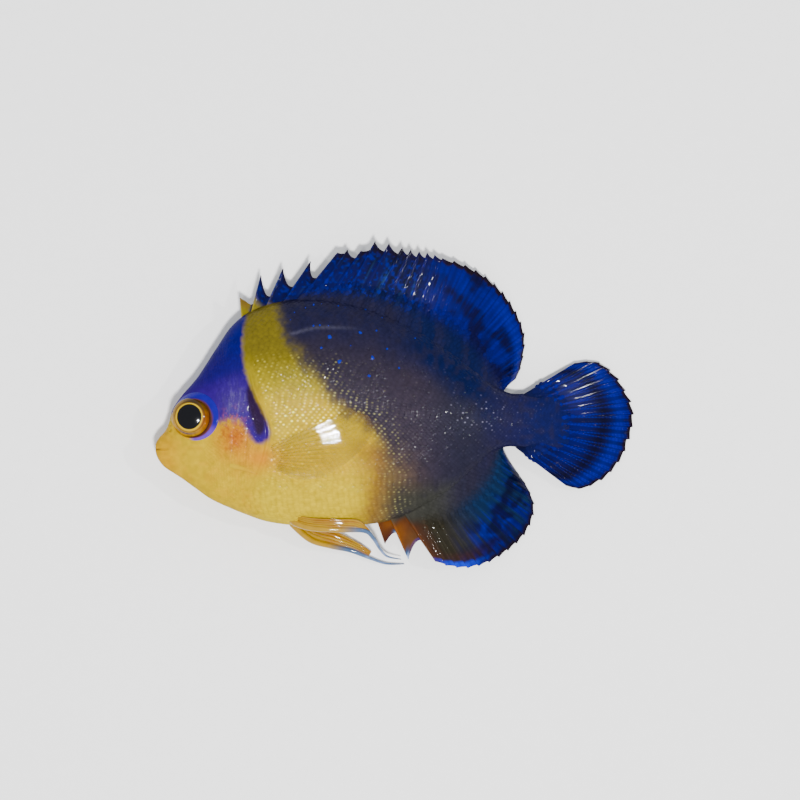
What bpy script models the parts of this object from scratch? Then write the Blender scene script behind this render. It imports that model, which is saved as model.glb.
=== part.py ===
"""Juvenile purplemask angelfish, life size, lying on its right side with its fins spread.

Every shape is drawn in the fish's own millimetres: u runs from the snout tip to the tail,
v towards the back and w out of the left flank. The fish lies on its right flank, so w is up.
"""
import math

import bmesh
import bpy
import numpy as np
from mathutils import Matrix, Vector

# Driving sizes, in millimetres
MM = 0.001
TOTAL_LENGTH = 45.2
MID_LENGTH = 22.574
MID_HEIGHT = 4.14
LIE = 4.2
GAP = 0.3
SAG_START = 20.0
SAG = 4.35
SAG_POWER = 1.7

# Body sections: back (u, v), belly (u, v), half width
SECTIONS = np.array([
    (0.00, 0.05, 0.00, -0.05, 0.30),
    (0.06, 0.60, 0.08, -0.55, 0.68),
    (0.42, 1.15, 0.35, -1.10, 0.98),
    (0.95, 1.75, 0.85, -1.70, 1.25),
    (1.30, 2.60, 1.60, -2.20, 1.55),
    (1.62, 3.75, 2.60, -2.85, 1.90),
    (2.45, 5.00, 3.80, -3.72, 2.35),
    (3.94, 6.75, 5.20, -4.70, 2.85),
    (5.75, 9.53, 6.90, -5.50, 3.35),
    (7.15, 11.55, 8.60, -6.19, 3.75),
    (8.80, 12.85, 10.30, -6.77, 4.05),
    (11.20, 13.75, 12.30, -7.10, 4.20),
    (14.50, 14.20, 14.90, -7.30, 4.25),
    (18.30, 13.80, 18.00, -7.20, 4.10),
    (22.00, 12.70, 21.20, -6.90, 3.70),
    (25.20, 11.15, 24.30, -5.95, 3.15),
    (28.00, 9.30, 27.20, -4.40, 2.60),
    (30.20, 7.50, 29.60, -2.40, 2.10),
    (32.00, 5.95, 31.60, -0.45, 1.65),
    (33.40, 5.25, 33.20, 0.22, 1.35),
    (34.80, 5.20, 34.80, 0.05, 1.15),
    (35.90, 4.60, 35.90, 0.60, 0.95),
])
WIDEST = 0.54
BACK_KEEL = 1.15
BODY_RINGS = 50
BODY_SIDES = 40
FLAT = 4.2

# Gill opening, as u for each v, and the cut through the tail stalk
GILL_V = np.array([-9.0, -5.55, -2.9, -0.1, 2.26, 5.55, 9.3, 12.3, 16.0])
GILL_U = np.array([6.2, 7.57, 9.36, 10.40, 10.58, 9.36, 8.5, 7.57, 6.9])
GILL_FLARE = 0.22
GILL_FLARE_LENGTH = 2.2
STALK_CUT = 32.9

# Fins
MEMBRANE = 0.5
RAY = 0.74
MARGIN = 0.5
RAY_ROWS = (0.0, 0.16, 0.32, 0.48, 0.64, 0.82, 1.0)
DROOP_POWER = 1.8
NOTCH_CURVE = 1.9
SPINE_TIPS = [
    (7.91, 14.2), (9.88, 16.36), (11.95, 16.98), (14.57, 17.68), (17.1, 18.5), (18.05, 18.75),
    (19.3, 18.65), (20.64, 19.56), (21.96, 19.37), (23.2, 19.0), (24.0, 18.8), (24.8, 18.65),
    (25.55, 18.5), (26.25, 18.3),
]
SOFT_DORSAL_MARGIN = [
    (27.0, 18.0), (28.9, 17.5), (31.1, 16.35), (32.95, 14.65), (34.1, 12.9), (34.85, 10.9),
    (34.75, 8.9), (34.2, 6.9), (33.2, 5.95),
]
DORSAL_SOFT_RAYS = 16
DORSAL_ROOT_RAYS = (0, 1, 2, 3, 8, 13, 29)
DORSAL_ROOTS = (8.15, 8.75, 10.02, 11.43, 18.67, 24.2, 32.3)
DORSAL_NOTCHES = (0.6, 0.58, 0.5, 0.45, 0.06, 0.13, 0.12, 0.12, 0.1, 0.08, 0.08, 0.07, 0.05)
ANAL_SPINE_TIPS = [(21.55, -8.9), (23.75, -10.4), (26.3, -10.6)]
SOFT_ANAL_MARGIN = [
    (27.3, -11.0), (29.2, -11.3), (31.3, -10.85), (33.2, -9.75), (34.9, -8.15), (35.8, -5.9),
    (35.3, -4.0), (34.1, -2.2), (33.1, -0.75),
]
ANAL_SOFT_RAYS = 17
TAIL_RAYS = 17
TAIL_ROOT = ((33.9, 0.1), (35.4, 2.6), (34.7, 5.2))
TAIL_MARGIN = [
    (38.7, -3.5), (40.2, -3.8), (42.3, -2.9), (43.95, -1.08), (44.9, 1.13), (45.2, 3.6),
    (44.5, 5.4), (43.4, 7.06), (41.65, 8.25), (39.6, 8.15),
]
PECTORAL_RAYS = 14
PECTORAL_ROOT = ((10.95, 0.35), (11.35, -1.85))
PECTORAL_TIPS = [
    (18.6, 3.75), (20.2, 3.1), (20.55, 1.7), (19.6, 0.1), (17.9, -1.4), (15.9, -2.5), (13.7, -2.9),
]
RIGHT_PECTORAL_TURN = -24.0
PRESSED_PAD = ((15.7, -1.7), (6.0, 2.9), -12.0)
PELVIC_LEFT = {
    "side": 1,
    "lead": [(12.3, -6.7, 1.1), (14.3, -7.35, 1.45), (17.0, -7.55, 1.55), (19.6, -7.65, 1.2),
             (20.5, -8.4, 0.4), (21.1, -9.4, -0.6), (21.8, -10.15, -1.5), (23.1, -10.45, -2.1)],
    "inner": [(12.3, -5.9, 1.5), (14.6, -6.4, 1.95), (17.0, -6.5, 2.0), (19.0, -6.6, 1.8),
              (19.9, -7.3, 1.0), (20.3, -7.9, 0.6)],
    "membrane": 0.62,
}
PELVIC_RIGHT = {
    "side": -1,
    "lead": [(12.3, -6.7, -1.1), (14.4, -8.55, -1.7), (16.4, -9.2, -2.3), (18.3, -9.65, -2.9),
             (20.2, -10.4, -3.3), (21.7, -10.9, -3.5), (23.4, -10.95, -3.6)],
    "inner": [(12.8, -6.5, -1.3), (15.0, -7.35, -1.9), (17.2, -7.95, -2.6), (19.2, -9.0, -3.0),
              (20.3, -9.75, -3.3)],
    "membrane": 0.72,
}
PELVIC_RAY = 0.3

# Head
EYE = (3.45, 2.95)
EYE_RADIUS = 1.9
EYE_DEPTH = 1.0
EYE_TURN = 22.0
EYE_OUT = 1.68
LIP = 0.29


def spline(table, s):
    """Catmull-Rom curve through the rows of a table, at row numbers s."""
    table = np.asarray(table, float)
    s = np.clip(np.asarray(s, float), 0, len(table) - 1)
    i = np.minimum(s.astype(int), len(table) - 2)
    t = (s - i)[..., None]
    before, after = np.maximum(i - 1, 0), np.minimum(i + 2, len(table) - 1)
    a, b = table[i], table[i + 1]
    slope_a, slope_b = (b - table[before]) / 2, (table[after] - a) / 2
    return (
        a * (2 * t**3 - 3 * t**2 + 1)
        + slope_a * (t**3 - 2 * t**2 + t)
        + b * (3 * t**2 - 2 * t**3)
        + slope_b * (t**3 - t**2)
    )


def along(points, shares):
    """Points at these shares of a curve's length."""
    fine = spline(points, np.linspace(0, len(points) - 1, 200))
    steps = np.linalg.norm(np.diff(fine, axis=0), axis=1)
    run = np.concatenate([[0], np.cumsum(steps)])
    return np.stack([np.interp(np.asarray(shares) * run[-1], run, c) for c in fine.T], 1)


def ease(x):
    """A smooth step from 0 to 1."""
    x = np.clip(x, 0, 1)
    return x * x * (3 - 2 * x)


def section_share(angle):
    """How high on its section a point is, from 0 at the belly to 1 at the back."""
    c = np.cos(angle)
    return WIDEST + np.where(c > 0, (1 - WIDEST) * c, WIDEST * c)


def fullness(share):
    """Half width at a height on the section, as a share of the widest: a keeled ellipse."""
    c = np.where(share > WIDEST, (share - WIDEST) / (1 - WIDEST), (WIDEST - share) / WIDEST)
    return np.sqrt(np.clip(1 - c * c, 0, 1)) ** np.where(share > WIDEST, BACK_KEEL, 1.0)


def flank(u, v):
    """Half width of the body at (u, v): the section through the point is found by halving."""
    u, v = np.broadcast_arrays(np.asarray(u, float), np.asarray(v, float))
    low, high = np.zeros(u.shape), np.full(u.shape, len(SECTIONS) - 1.0)
    for _ in range(30):
        s = (low + high) / 2
        row = spline(SECTIONS, s)
        rise_u, rise_v = row[..., 0] - row[..., 2], row[..., 1] - row[..., 3]
        ahead = rise_u * (v - row[..., 3]) - rise_v * (u - row[..., 2]) > 0
        low, high = np.where(ahead, low, s), np.where(ahead, s, high)
    share = ((u - row[..., 2]) * rise_u + (v - row[..., 3]) * rise_v) / (rise_u**2 + rise_v**2)
    return row[..., 4] * fullness(share)


def sag(u):
    """How far the tail end hangs below the stiff front of the body."""
    return SAG * np.clip((u - SAG_START) / (TOTAL_LENGTH - SAG_START), 0, 1) ** SAG_POWER


def to_row(u, v, w):
    """The part's frame, in metres: the box's bottom centre is the origin and the floor is z = 0."""
    u, v, w = np.broadcast_arrays(u, v, w)
    return np.stack([u - MID_LENGTH, v - MID_HEIGHT, LIE + w - sag(u)], -1) * MM


def gill(v):
    """The gill cover's rear edge, as u."""
    rows = np.interp(v, GILL_V, np.arange(len(GILL_V)))
    return spline(GILL_U[:, None], rows)[..., 0]


def new_object(name, mesh):
    obj = bpy.data.objects.new(name, mesh)
    bpy.context.scene.collection.objects.link(obj)
    return obj


def lofted(name, rings):
    """A closed body through rings of points, its first and last ring closed by a fan."""
    count, sides = rings.shape[:2]
    points = [tuple(p) for p in rings.reshape(-1, 3)]
    points += [tuple(rings[0].mean(0)), tuple(rings[-1].mean(0))]
    first, last = count * sides, count * sides + 1
    faces = []
    for r in range(count - 1):
        for k in range(sides):
            n = (k + 1) % sides
            a, b = r * sides + k, r * sides + n
            faces.append((a, b, b + sides, a + sides))
    for k in range(sides):
        n = (k + 1) % sides
        faces.append((first, n, k))
        faces.append((last, (count - 1) * sides + k, (count - 1) * sides + n))
    mesh = bpy.data.meshes.new(name)
    mesh.from_pydata(points, [], faces)
    bm = bmesh.new()
    bm.from_mesh(mesh)
    bmesh.ops.recalc_face_normals(bm, faces=bm.faces)
    bmesh.ops.triangulate(bm, faces=bm.faces)
    bm.to_mesh(mesh)
    bm.free()
    return new_object(name, mesh)


def body(name, swell=0.0, flare=0.0):
    """The whole body, swollen by a clearance when it is a cutter."""
    rows = np.linspace(0, 1, BODY_RINGS) ** 1.12 * (len(SECTIONS) - 1)
    table = spline(SECTIONS, rows)
    angle = np.arange(BODY_SIDES) / BODY_SIDES * 2 * math.pi
    share = section_share(angle)[None, :]
    back, belly, half = table[:, None, 0:2], table[:, None, 2:4], table[:, None, 4]
    rise = back - belly
    rise = rise / np.linalg.norm(rise, axis=-1, keepdims=True)
    back, belly = back + rise * swell, belly - rise * swell
    place = belly + (back - belly) * share[..., None]
    u, v = place[..., 0], place[..., 1]
    u = u + swell * (rows[:, None] == rows[-1]) * 1.0
    w = np.sin(angle)[None, :]
    side = np.sign(w) * np.abs(w) ** np.where(share > WIDEST, BACK_KEEL, 1.0)
    w = side * (half + swell)
    if flare:
        near = ease(1 - (gill(v) - u) / GILL_FLARE_LENGTH) * ease((v + 6.5) / 3) * ease((8.5 - v) / 3)
        w = w + flare * near * np.clip(side * 1.5, -1, 1)
    w = np.maximum(w, -FLAT - swell)
    if not swell:
        w = np.where(w < 0, np.minimum(w + fin_dent(u, v), 0), w)
    return lofted(name, to_row(u, v, w))


def fin_dent(u, v):
    """How deep the folded right pectoral fin presses into the flank that lies on it."""
    middle, half, turn = PRESSED_PAD
    c, d = math.cos(math.radians(turn)), math.sin(math.radians(turn))
    du, dv = u - middle[0], v - middle[1]
    out = np.hypot((du * c + dv * d) / half[0], (dv * c - du * d) / half[1])
    room = LIE - np.minimum(flank(u, v), FLAT)
    need = GAP + RAY + 0.1 - room
    return np.clip(need, 0, None) * ease(1 - (out - 1) / 0.35)


def thick_sheet(name, points, thickness):
    """A curved sheet given its thickness point by point, split alike on both faces."""
    rows, columns = points.shape[:2]
    mesh = bpy.data.meshes.new(name)
    bm = bmesh.new()
    bmesh.ops.create_grid(bm, x_segments=columns - 1, y_segments=rows - 1, size=1)
    for vert, place in zip(bm.verts, points.reshape(-1, 3)):
        vert.co = place
    bmesh.ops.triangulate(bm, faces=bm.faces)
    bm.to_mesh(mesh)
    bm.free()
    sheet = new_object(name, mesh)
    group = sheet.vertex_groups.new(name="thickness")
    most = float(thickness.max())
    for index, depth in enumerate(thickness.reshape(-1)):
        group.add([index], float(depth) / most, "REPLACE")
    wall = sheet.modifiers.new("wall", "SOLIDIFY")
    wall.thickness = most * MM
    wall.offset = 0
    wall.vertex_group = group.name
    return settled(sheet)


def settled(obj):
    """The object with its modifiers applied, or a curve as a closed mesh."""
    graph = bpy.context.evaluated_depsgraph_get()
    mesh = bpy.data.meshes.new_from_object(obj.evaluated_get(graph))
    mesh.transform(obj.matrix_world)
    name = obj.name
    bpy.data.objects.remove(obj)
    bm = bmesh.new()
    bm.from_mesh(mesh)
    bmesh.ops.remove_doubles(bm, verts=bm.verts, dist=1e-6)
    bmesh.ops.recalc_face_normals(bm, faces=bm.faces)
    bm.to_mesh(mesh)
    bm.free()
    return new_object(name, mesh)


def combined(base, others, operation, solver="EXACT"):
    """The base with a collection of closed pieces joined to it, cut from it or kept in common."""
    group = bpy.data.collections.new(base.name + "_pieces")
    bpy.context.scene.collection.children.link(group)
    for other in others:
        group.objects.link(other)
        bpy.context.scene.collection.objects.unlink(other)
    tool = base.modifiers.new(operation.lower(), "BOOLEAN")
    tool.operand_type = "COLLECTION"
    tool.collection = group
    tool.operation = operation
    tool.solver = solver
    made = settled(base)
    for other in list(group.objects):
        bpy.data.objects.remove(other)
    bpy.data.collections.remove(group)
    return largest(made)


def largest(obj):
    """Keeps only the largest closed surface of a mesh."""
    bm = bmesh.new()
    bm.from_mesh(obj.data)
    bm.verts.ensure_lookup_table()
    left, islands = set(bm.verts), []
    while left:
        todo, island = [left.pop()], []
        while todo:
            vert = todo.pop()
            island.append(vert)
            near = {e.other_vert(vert) for e in vert.link_edges} & left
            left -= near
            todo.extend(near)
        islands.append(island)
    islands.sort(key=len)
    bmesh.ops.delete(bm, geom=[v for island in islands[:-1] for v in island], context="VERTS")
    bm.to_mesh(obj.data)
    bm.free()
    return obj


def slab(name, outline):
    """A prism on a flat (u, v) outline, thick enough to cut right through the fish."""
    curve = bpy.data.curves.new(name, "CURVE")
    curve.dimensions = "2D"
    curve.fill_mode = "BOTH"
    curve.extrude = 20 * MM
    line = curve.splines.new("POLY")
    line.points.add(len(outline) - 1)
    for point, (u, v) in zip(line.points, outline):
        x, y, _ = to_row(u, v, 0.0)
        point.co = (x, y, 0, 1)
    line.use_cyclic_u = True
    return settled(new_object(name, curve))


def tube(name, path, radii):
    """A round tapering rod along a path of (u, v, w) points."""
    curve = bpy.data.curves.new(name, "CURVE")
    curve.dimensions = "3D"
    curve.bevel_depth = MM
    curve.bevel_resolution = 1
    curve.use_fill_caps = True
    line = curve.splines.new("POLY")
    line.points.add(len(path) - 1)
    for point, place, radius in zip(line.points, to_row(*np.asarray(path).T), radii):
        point.co = (*place, 1)
        point.radius = radius
    return settled(new_object(name, curve))


def ball(name, centre, radii, turn=0.0):
    """An ellipsoid at (u, v, w), turned about the v axis."""
    mesh = bpy.data.meshes.new(name)
    bm = bmesh.new()
    bmesh.ops.create_uvsphere(bm, u_segments=24, v_segments=12, radius=MM)
    bm.transform(Matrix.Diagonal((*radii, 1)))
    bm.transform(Matrix.Rotation(math.radians(turn), 4, "Y"))
    bm.transform(Matrix.Translation(Vector(to_row(*centre))))
    bm.to_mesh(mesh)
    bm.free()
    return new_object(name, mesh)


def columns_between(rays, shares, notches):
    """Ray numbers, notch depths and ray marks for the columns of a fin, membrane between rays."""
    place, notch, mark = [], [], []
    for ray in range(rays - 1):
        for share in shares[ray]:
            place.append(ray + share)
            mark.append(1.0 if share == 0 else 0.0)
            notch.append(notches[ray] * (1 - (1 - share) ** NOTCH_CURVE))
    return np.array([*place, rays - 1]), np.array([*notch, 0.0]), np.array([*mark, 1.0])


def fin_points(roots, tips, drop, floor=True):
    """The middle surface of a flat fin, its rays hanging by drop at their tips."""
    share = np.array(RAY_ROWS)[:, None, None]
    flat = roots[None] * (1 - share) + tips[None] * share
    u, v = flat[..., 0], flat[..., 1]
    w = -drop[None] * share[..., 0] ** DROOP_POWER
    places = to_row(u, v, w)
    if floor:
        places[..., 2] = np.maximum(places[..., 2], RAY / 2 * MM)
    return places


def fin_thickness(mark, root):
    """Thicker at the root and along each ray, thinner in the membrane and at the margin."""
    share = np.array(RAY_ROWS)[:, None]
    ray = RAY + (MARGIN - RAY) * share**2
    membrane = MEMBRANE + (MARGIN - 0.06 - MEMBRANE) * share**2
    blade = np.where(mark[None] > 0, ray, membrane)
    return blade + (root - blade) * np.clip(1 - share / 0.3, 0, 1) ** 1.5


def median_fin(name, roots, tips, notch, mark, drop, root_thickness):
    """A fin on the middle line, cut back to leave a gap to the body it grows from."""
    tips = tips + (roots - tips) * notch[:, None]
    points = fin_points(roots, tips, drop)
    sheet = thick_sheet(name, points, fin_thickness(mark, root_thickness))
    return combined(sheet, [body(name + "_gap", swell=GAP)], "DIFFERENCE", "MANIFOLD")


def edge_of_body(side, places, sink):
    """Points along the back or the belly at these u, sunk into the flesh."""
    rows = np.linspace(0, len(SECTIONS) - 1, 400)
    table = spline(SECTIONS, rows)
    pick = table[:, 0:2] if side > 0 else table[:, 2:4]
    v = np.interp(places, pick[:, 0], pick[:, 1])
    return np.stack([places, v - side * sink], 1)


def dorsal_fin():
    spines = len(SPINE_TIPS)
    rays = spines + DORSAL_SOFT_RAYS
    numbers = np.arange(rays)
    root_u = np.interp(numbers, DORSAL_ROOT_RAYS, DORSAL_ROOTS)
    soft = along(SOFT_DORSAL_MARGIN, np.linspace(0, 1, DORSAL_SOFT_RAYS))
    tip = np.concatenate([SPINE_TIPS, soft])
    gaps = [(0, 0.2, 0.6, 0.94) if n < spines - 1 else (0, 0.5) for n in range(rays - 1)]
    deep = [*DORSAL_NOTCHES, *[0.02] * DORSAL_SOFT_RAYS]
    place, notch, mark = columns_between(rays, gaps, deep)
    roots = edge_of_body(1, np.interp(place, numbers, root_u), 0.9)
    tips = np.stack([np.interp(place, numbers, c) for c in tip.T], 1)
    hang = LIE - sag(tips[:, 0]) - RAY / 2
    drop = 0.35 + (hang - 0.35) * ease((place - spines + 2) / 11)
    return median_fin("dorsal_fin", roots, tips, notch, mark, drop, 1.5)


def anal_fin():
    spines = len(ANAL_SPINE_TIPS)
    rays = spines + ANAL_SOFT_RAYS
    numbers = np.arange(rays)
    root_u = np.interp(numbers, [0, spines, rays - 1], [20.6, 24.3, 32.3])
    tip = np.concatenate([ANAL_SPINE_TIPS, along(SOFT_ANAL_MARGIN, np.linspace(0, 1, ANAL_SOFT_RAYS))])
    gaps = [(0, 0.2, 0.6, 0.92) if n < spines - 1 else (0, 0.5) for n in range(rays - 1)]
    deep = [(0.34, 0.4)[n] if n < spines - 1 else 0.02 for n in range(rays - 1)]
    place, notch, mark = columns_between(rays, gaps, deep)
    roots = edge_of_body(-1, np.interp(place, numbers, root_u), 0.9)
    tips = np.stack([np.interp(place, numbers, c) for c in tip.T], 1)
    hang = LIE - sag(tips[:, 0]) - RAY / 2
    drop = 0.3 + (hang - 0.3) * ease((place - 2) / 9)
    return median_fin("anal_fin", roots, tips, notch, mark, drop, 1.5)


def tail_fin():
    gaps = [(0, 0.5)] * (TAIL_RAYS - 1)
    place, notch, mark = columns_between(TAIL_RAYS, gaps, [0.025] * (TAIL_RAYS - 1))
    share = place / (TAIL_RAYS - 1)
    tips = along(TAIL_MARGIN, share)
    roots = along(TAIL_ROOT, share)
    return median_fin("tail_fin", roots, tips, notch, mark, np.zeros(len(place)), 2.0)


def pectoral_columns(turn):
    """Roots and tips of one pectoral fin, turned about the middle of its root."""
    place, notch, mark = columns_between(PECTORAL_RAYS, [(0, 0.5)] * (PECTORAL_RAYS - 1),
                                         [0.03] * (PECTORAL_RAYS - 1))
    share = place / (PECTORAL_RAYS - 1)
    first, last = np.array(PECTORAL_ROOT)
    roots = first + (last - first) * share[:, None]
    tips = along(PECTORAL_TIPS, share)
    tips = tips + (roots - tips) * notch[:, None]
    hinge = (first + last) / 2
    c, d = math.cos(math.radians(turn)), math.sin(math.radians(turn))
    spin = np.array([[c, d], [-d, c]])
    return hinge + (roots - hinge) @ spin, hinge + (tips - hinge) @ spin, mark


def pectoral_fin(name, side, turn):
    """Folded on the flank: the left one follows it, the right one lies flat on the floor."""
    roots, tips, mark = pectoral_columns(turn)
    share = np.array(RAY_ROWS)[:, None, None]
    flat = roots[None] * (1 - share) + tips[None] * share
    u, v = flat[..., 0], flat[..., 1]
    if side > 0:
        w = np.minimum(flank(u, v), FLAT) + GAP + RAY / 2 + 0.08
    else:
        w = np.full(u.shape, RAY / 2 - LIE) + sag(u)
    return thick_sheet(name, to_row(u, v, w), fin_thickness(mark, RAY))


def pelvic_fin(name, shape):
    """A narrow membrane between its leading ray, drawn out into a thread, and its inner edge."""
    rows = 12
    share = np.linspace(0, 1, rows)
    lead = along(shape["lead"], share * shape["membrane"])
    inner = along(shape["inner"], share)
    across = np.linspace(0, 1, 6)[None, :, None]
    flat = lead[:, None] * (1 - across) + inner[:, None] * across
    points = to_row(*flat.reshape(-1, 3).T).reshape(flat.shape)
    sheet = thick_sheet(name, points, np.full(flat.shape[:2], MEMBRANE))
    path = along(shape["lead"], np.linspace(0, 1, 22))
    radii = np.interp(np.linspace(0, 1, 22), [0, 0.3, 0.7, 1], [0.45, 0.36, PELVIC_RAY, 0.18])
    joined = combined(sheet, [tube(name + "_ray", path, radii)], "UNION", "MANIFOLD")
    return combined(joined, [body(name + "_gap", swell=GAP)], "DIFFERENCE", "MANIFOLD")


def eye(name, side, swell=0.0):
    radii = (EYE_RADIUS + swell, EYE_RADIUS + swell, EYE_DEPTH + swell)
    return ball(name, (*EYE, side * EYE_OUT), radii, turn=-side * EYE_TURN)


def lips(name, v, front):
    """One lip: a rod round the front of the jaw, from one corner of the mouth to the other."""
    angle = np.linspace(-100, 100, 13)
    u = front + 0.95 * (1 - np.cos(np.radians(angle)))
    w = 0.62 * np.sin(np.radians(angle)) * (1 + 0.25 * (u - front))
    path = np.stack([u, np.full(13, v) - 0.12 * (u - front), w], 1)
    radii = LIP * (0.7 + 0.3 * np.cos(np.radians(angle * 0.9)))
    return tube(name, path, radii)


def cheek_spine(name, side):
    """The strong spine at the lower corner of the cheek."""
    path = np.array([(7.2, -1.45), (8.3, -1.75), (9.0, -2.0), (9.7, -2.35)])
    w = np.maximum(flank(path[:, 0], path[:, 1]) + (-0.25, 0.12, 0.22, 0.24), 0)
    if side < 0:
        w = np.minimum(w, LIE - 0.35)
    return tube(name, np.stack([path[:, 0], path[:, 1], side * w], 1), (0.42, 0.36, 0.26, 0.1))


def mouth_slit():
    """A thin round plate that parts the jaws between the lips."""
    mesh = bpy.data.meshes.new("mouth_slit")
    bm = bmesh.new()
    bmesh.ops.create_cone(bm, cap_ends=True, segments=24, radius1=1.35 * MM, radius2=1.35 * MM,
                          depth=0.2 * MM)
    bm.transform(Matrix.Rotation(math.radians(90), 4, "X"))
    bm.transform(Matrix.Translation(Vector(to_row(0.0, -0.02, 0.0))))
    bm.to_mesh(mesh)
    bm.free()
    return new_object("mouth_slit", mesh)


def head():
    """Front of the body to the gill cover's edge, with eye sockets, lips, mouth and nostrils."""
    v = np.linspace(15, -9, 17)
    front = [(u - GAP / 2, y) for u, y in zip(gill(v), v)]
    outline = [(-3, -9), (-3, 15), *front]
    made = combined(body("head", flare=GILL_FLARE), [slab("head_region", outline)], "INTERSECT")
    extra = [lips("upper_lip", 0.36, 0.2), lips("lower_lip", -0.4, 0.28)]
    extra += [cheek_spine("cheek_spine", side) for side in (1, -1)]
    made = combined(made, extra, "UNION")
    cutters = [eye("socket", side, GAP) for side in (1, -1)] + [mouth_slit()]
    for u, y in ((1.45, 1.75), (1.5, 2.3)):
        half = float(flank(u, y))
        cutters += [ball("nostril", (u, y, side * half), (0.2, 0.2, 0.3)) for side in (1, -1)]
    return combined(made, cutters, "DIFFERENCE")


def torso():
    v = np.linspace(16, -9, 17)
    front = [(u + GAP / 2, y) for u, y in zip(gill(v), v)]
    outline = [*front, (STALK_CUT - GAP / 2, -9), (STALK_CUT - GAP / 2, 16)]
    return combined(body("torso"), [slab("torso_region", outline)], "INTERSECT")


def tail_stalk():
    start = STALK_CUT + GAP / 2
    outline = [(start, -9), (start, 16), (40, 16), (40, -9)]
    return combined(body("tail_stalk"), [slab("stalk_region", outline)], "INTERSECT")


def paint(obj, colour, roughness):
    """A plain finish for one sub-part."""
    finish = bpy.data.materials.new(obj.name)
    finish.use_nodes = True
    shader = finish.node_tree.nodes["Principled BSDF"]
    shader.inputs["Base Color"].default_value = (*colour, 1)
    shader.inputs["Roughness"].default_value = roughness
    obj.data.materials.clear()
    obj.data.materials.append(finish)


def main():
    for obj in list(bpy.data.objects):
        bpy.data.objects.remove(obj)
    gold, purple, dusk = (0.85, 0.55, 0.03), (0.03, 0.02, 0.35), (0.05, 0.04, 0.09)
    deep_blue, clear_gold, black = (0.005, 0.015, 0.25), (0.9, 0.62, 0.12), (0.01, 0.01, 0.02)
    made = [
        (head(), purple), (torso(), gold), (tail_stalk(), dusk),
        (dorsal_fin(), deep_blue), (anal_fin(), deep_blue), (tail_fin(), deep_blue),
        (pectoral_fin("pectoral_fin_left", 1, 0.0), clear_gold),
        (pectoral_fin("pectoral_fin_right", -1, RIGHT_PECTORAL_TURN), clear_gold),
        (pelvic_fin("pelvic_fin_left", PELVIC_LEFT), gold),
        (pelvic_fin("pelvic_fin_right", PELVIC_RIGHT), gold),
        (eye("eye_left", 1), black), (eye("eye_right", -1), black),
    ]
    fish = bpy.data.collections.new("purplemask_angelfish")
    bpy.context.scene.collection.children.link(fish)
    for obj, colour in made:
        paint(obj, colour, 0.35)
        obj.data.shade_smooth()
        fish.objects.link(obj)
        bpy.context.scene.collection.objects.unlink(obj)


main()
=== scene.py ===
# %% [markdown]
# # A juvenile purplemask angelfish
# The solids of this fish are plain, closed shapes of the right size. Here each one gets the surface
# that the real fish has: wet skin, some thousands of scales, ringed eyes and rayed fins. Every new
# piece is worked out with numpy as a function on a grid and then handed to Blender in one go.

# %% Load the solids
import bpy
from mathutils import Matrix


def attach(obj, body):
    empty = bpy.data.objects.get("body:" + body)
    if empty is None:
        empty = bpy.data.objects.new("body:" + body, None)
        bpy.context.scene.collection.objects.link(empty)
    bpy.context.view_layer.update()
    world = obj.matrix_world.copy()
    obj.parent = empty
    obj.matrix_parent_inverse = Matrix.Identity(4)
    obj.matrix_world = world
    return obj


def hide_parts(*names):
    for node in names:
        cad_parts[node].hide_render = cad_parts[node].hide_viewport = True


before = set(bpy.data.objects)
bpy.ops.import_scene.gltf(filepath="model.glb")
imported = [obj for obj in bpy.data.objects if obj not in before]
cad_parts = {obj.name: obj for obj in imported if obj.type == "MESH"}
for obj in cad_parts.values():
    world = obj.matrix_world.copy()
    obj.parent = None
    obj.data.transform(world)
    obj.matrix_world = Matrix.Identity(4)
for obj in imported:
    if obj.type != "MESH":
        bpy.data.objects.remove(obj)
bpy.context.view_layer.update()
print("solids", sorted(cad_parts))

import math

import bpy
import numpy as np

MM = 0.001

# %% [markdown]
# ## The table, the lights and the camera
# The fish is small, so everything stands close to it. Its dark wet skin mirrors whatever is bright
# round it, so two small lamps make the white glints, one for the flank and one for the sloping tail,
# and an evenly lit room softens the shadows without an image of its own. The camera looks straight
# down through a long lens.

# %% Camera
LENS_LENGTH = 191.4
CAMERA_PLACE = (0.416 * MM, 0.47 * MM, 404.2 * MM)

lens = bpy.data.cameras.new("overhead")
lens.sensor_width = 36
lens.lens = LENS_LENGTH
lens.clip_start = 0.01
overhead = bpy.data.objects.new("overhead", lens)
overhead.location = CAMERA_PLACE
bpy.context.scene.collection.objects.link(overhead)
bpy.context.scene.camera = overhead


# %% Lights
def panel(name, place, wide, high, power):
    """A rectangle of light at a place in metres, turned to face the fish."""
    light = bpy.data.lights.new(name, "AREA")
    light.shape = "RECTANGLE"
    light.size = wide
    light.size_y = high
    light.energy = power
    made = bpy.data.objects.new(name, light)
    made.location = place
    made.rotation_euler = made.location.to_track_quat("Z", "Y").to_euler()
    bpy.context.scene.collection.objects.link(made)


panel("window", (0.014, -0.060, 0.36), 0.025, 0.022, 2.3)
panel("tail_lamp", (0.205, 0.03, 0.33), 0.012, 0.012, 0.4)

world = bpy.data.worlds.new("studio")
world.use_nodes = True
room = world.node_tree.nodes["Background"]
room.inputs["Color"].default_value = (0.9, 0.93, 1.0, 1)
room.inputs["Strength"].default_value = 1.1
bpy.context.scene.world = world

# %% [markdown]
# ## The fish's own millimetres
# The fish is drawn in its own three directions: u runs from the snout to the tail, v towards the back
# and w out of the left flank. It lies on its right flank, so w points up. One function turns these
# millimetres into places on the table, and lets the limp tail end sag a little.

# %% Sizes and curves
MID_LENGTH = 22.574
MID_HEIGHT = 4.14
LIE = 4.2
TOTAL_LENGTH = 45.2
SAG_START = 20.0
SAG = 4.35
BOTH_SIDES = ((1, "left"), (-1, "right"))


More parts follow.
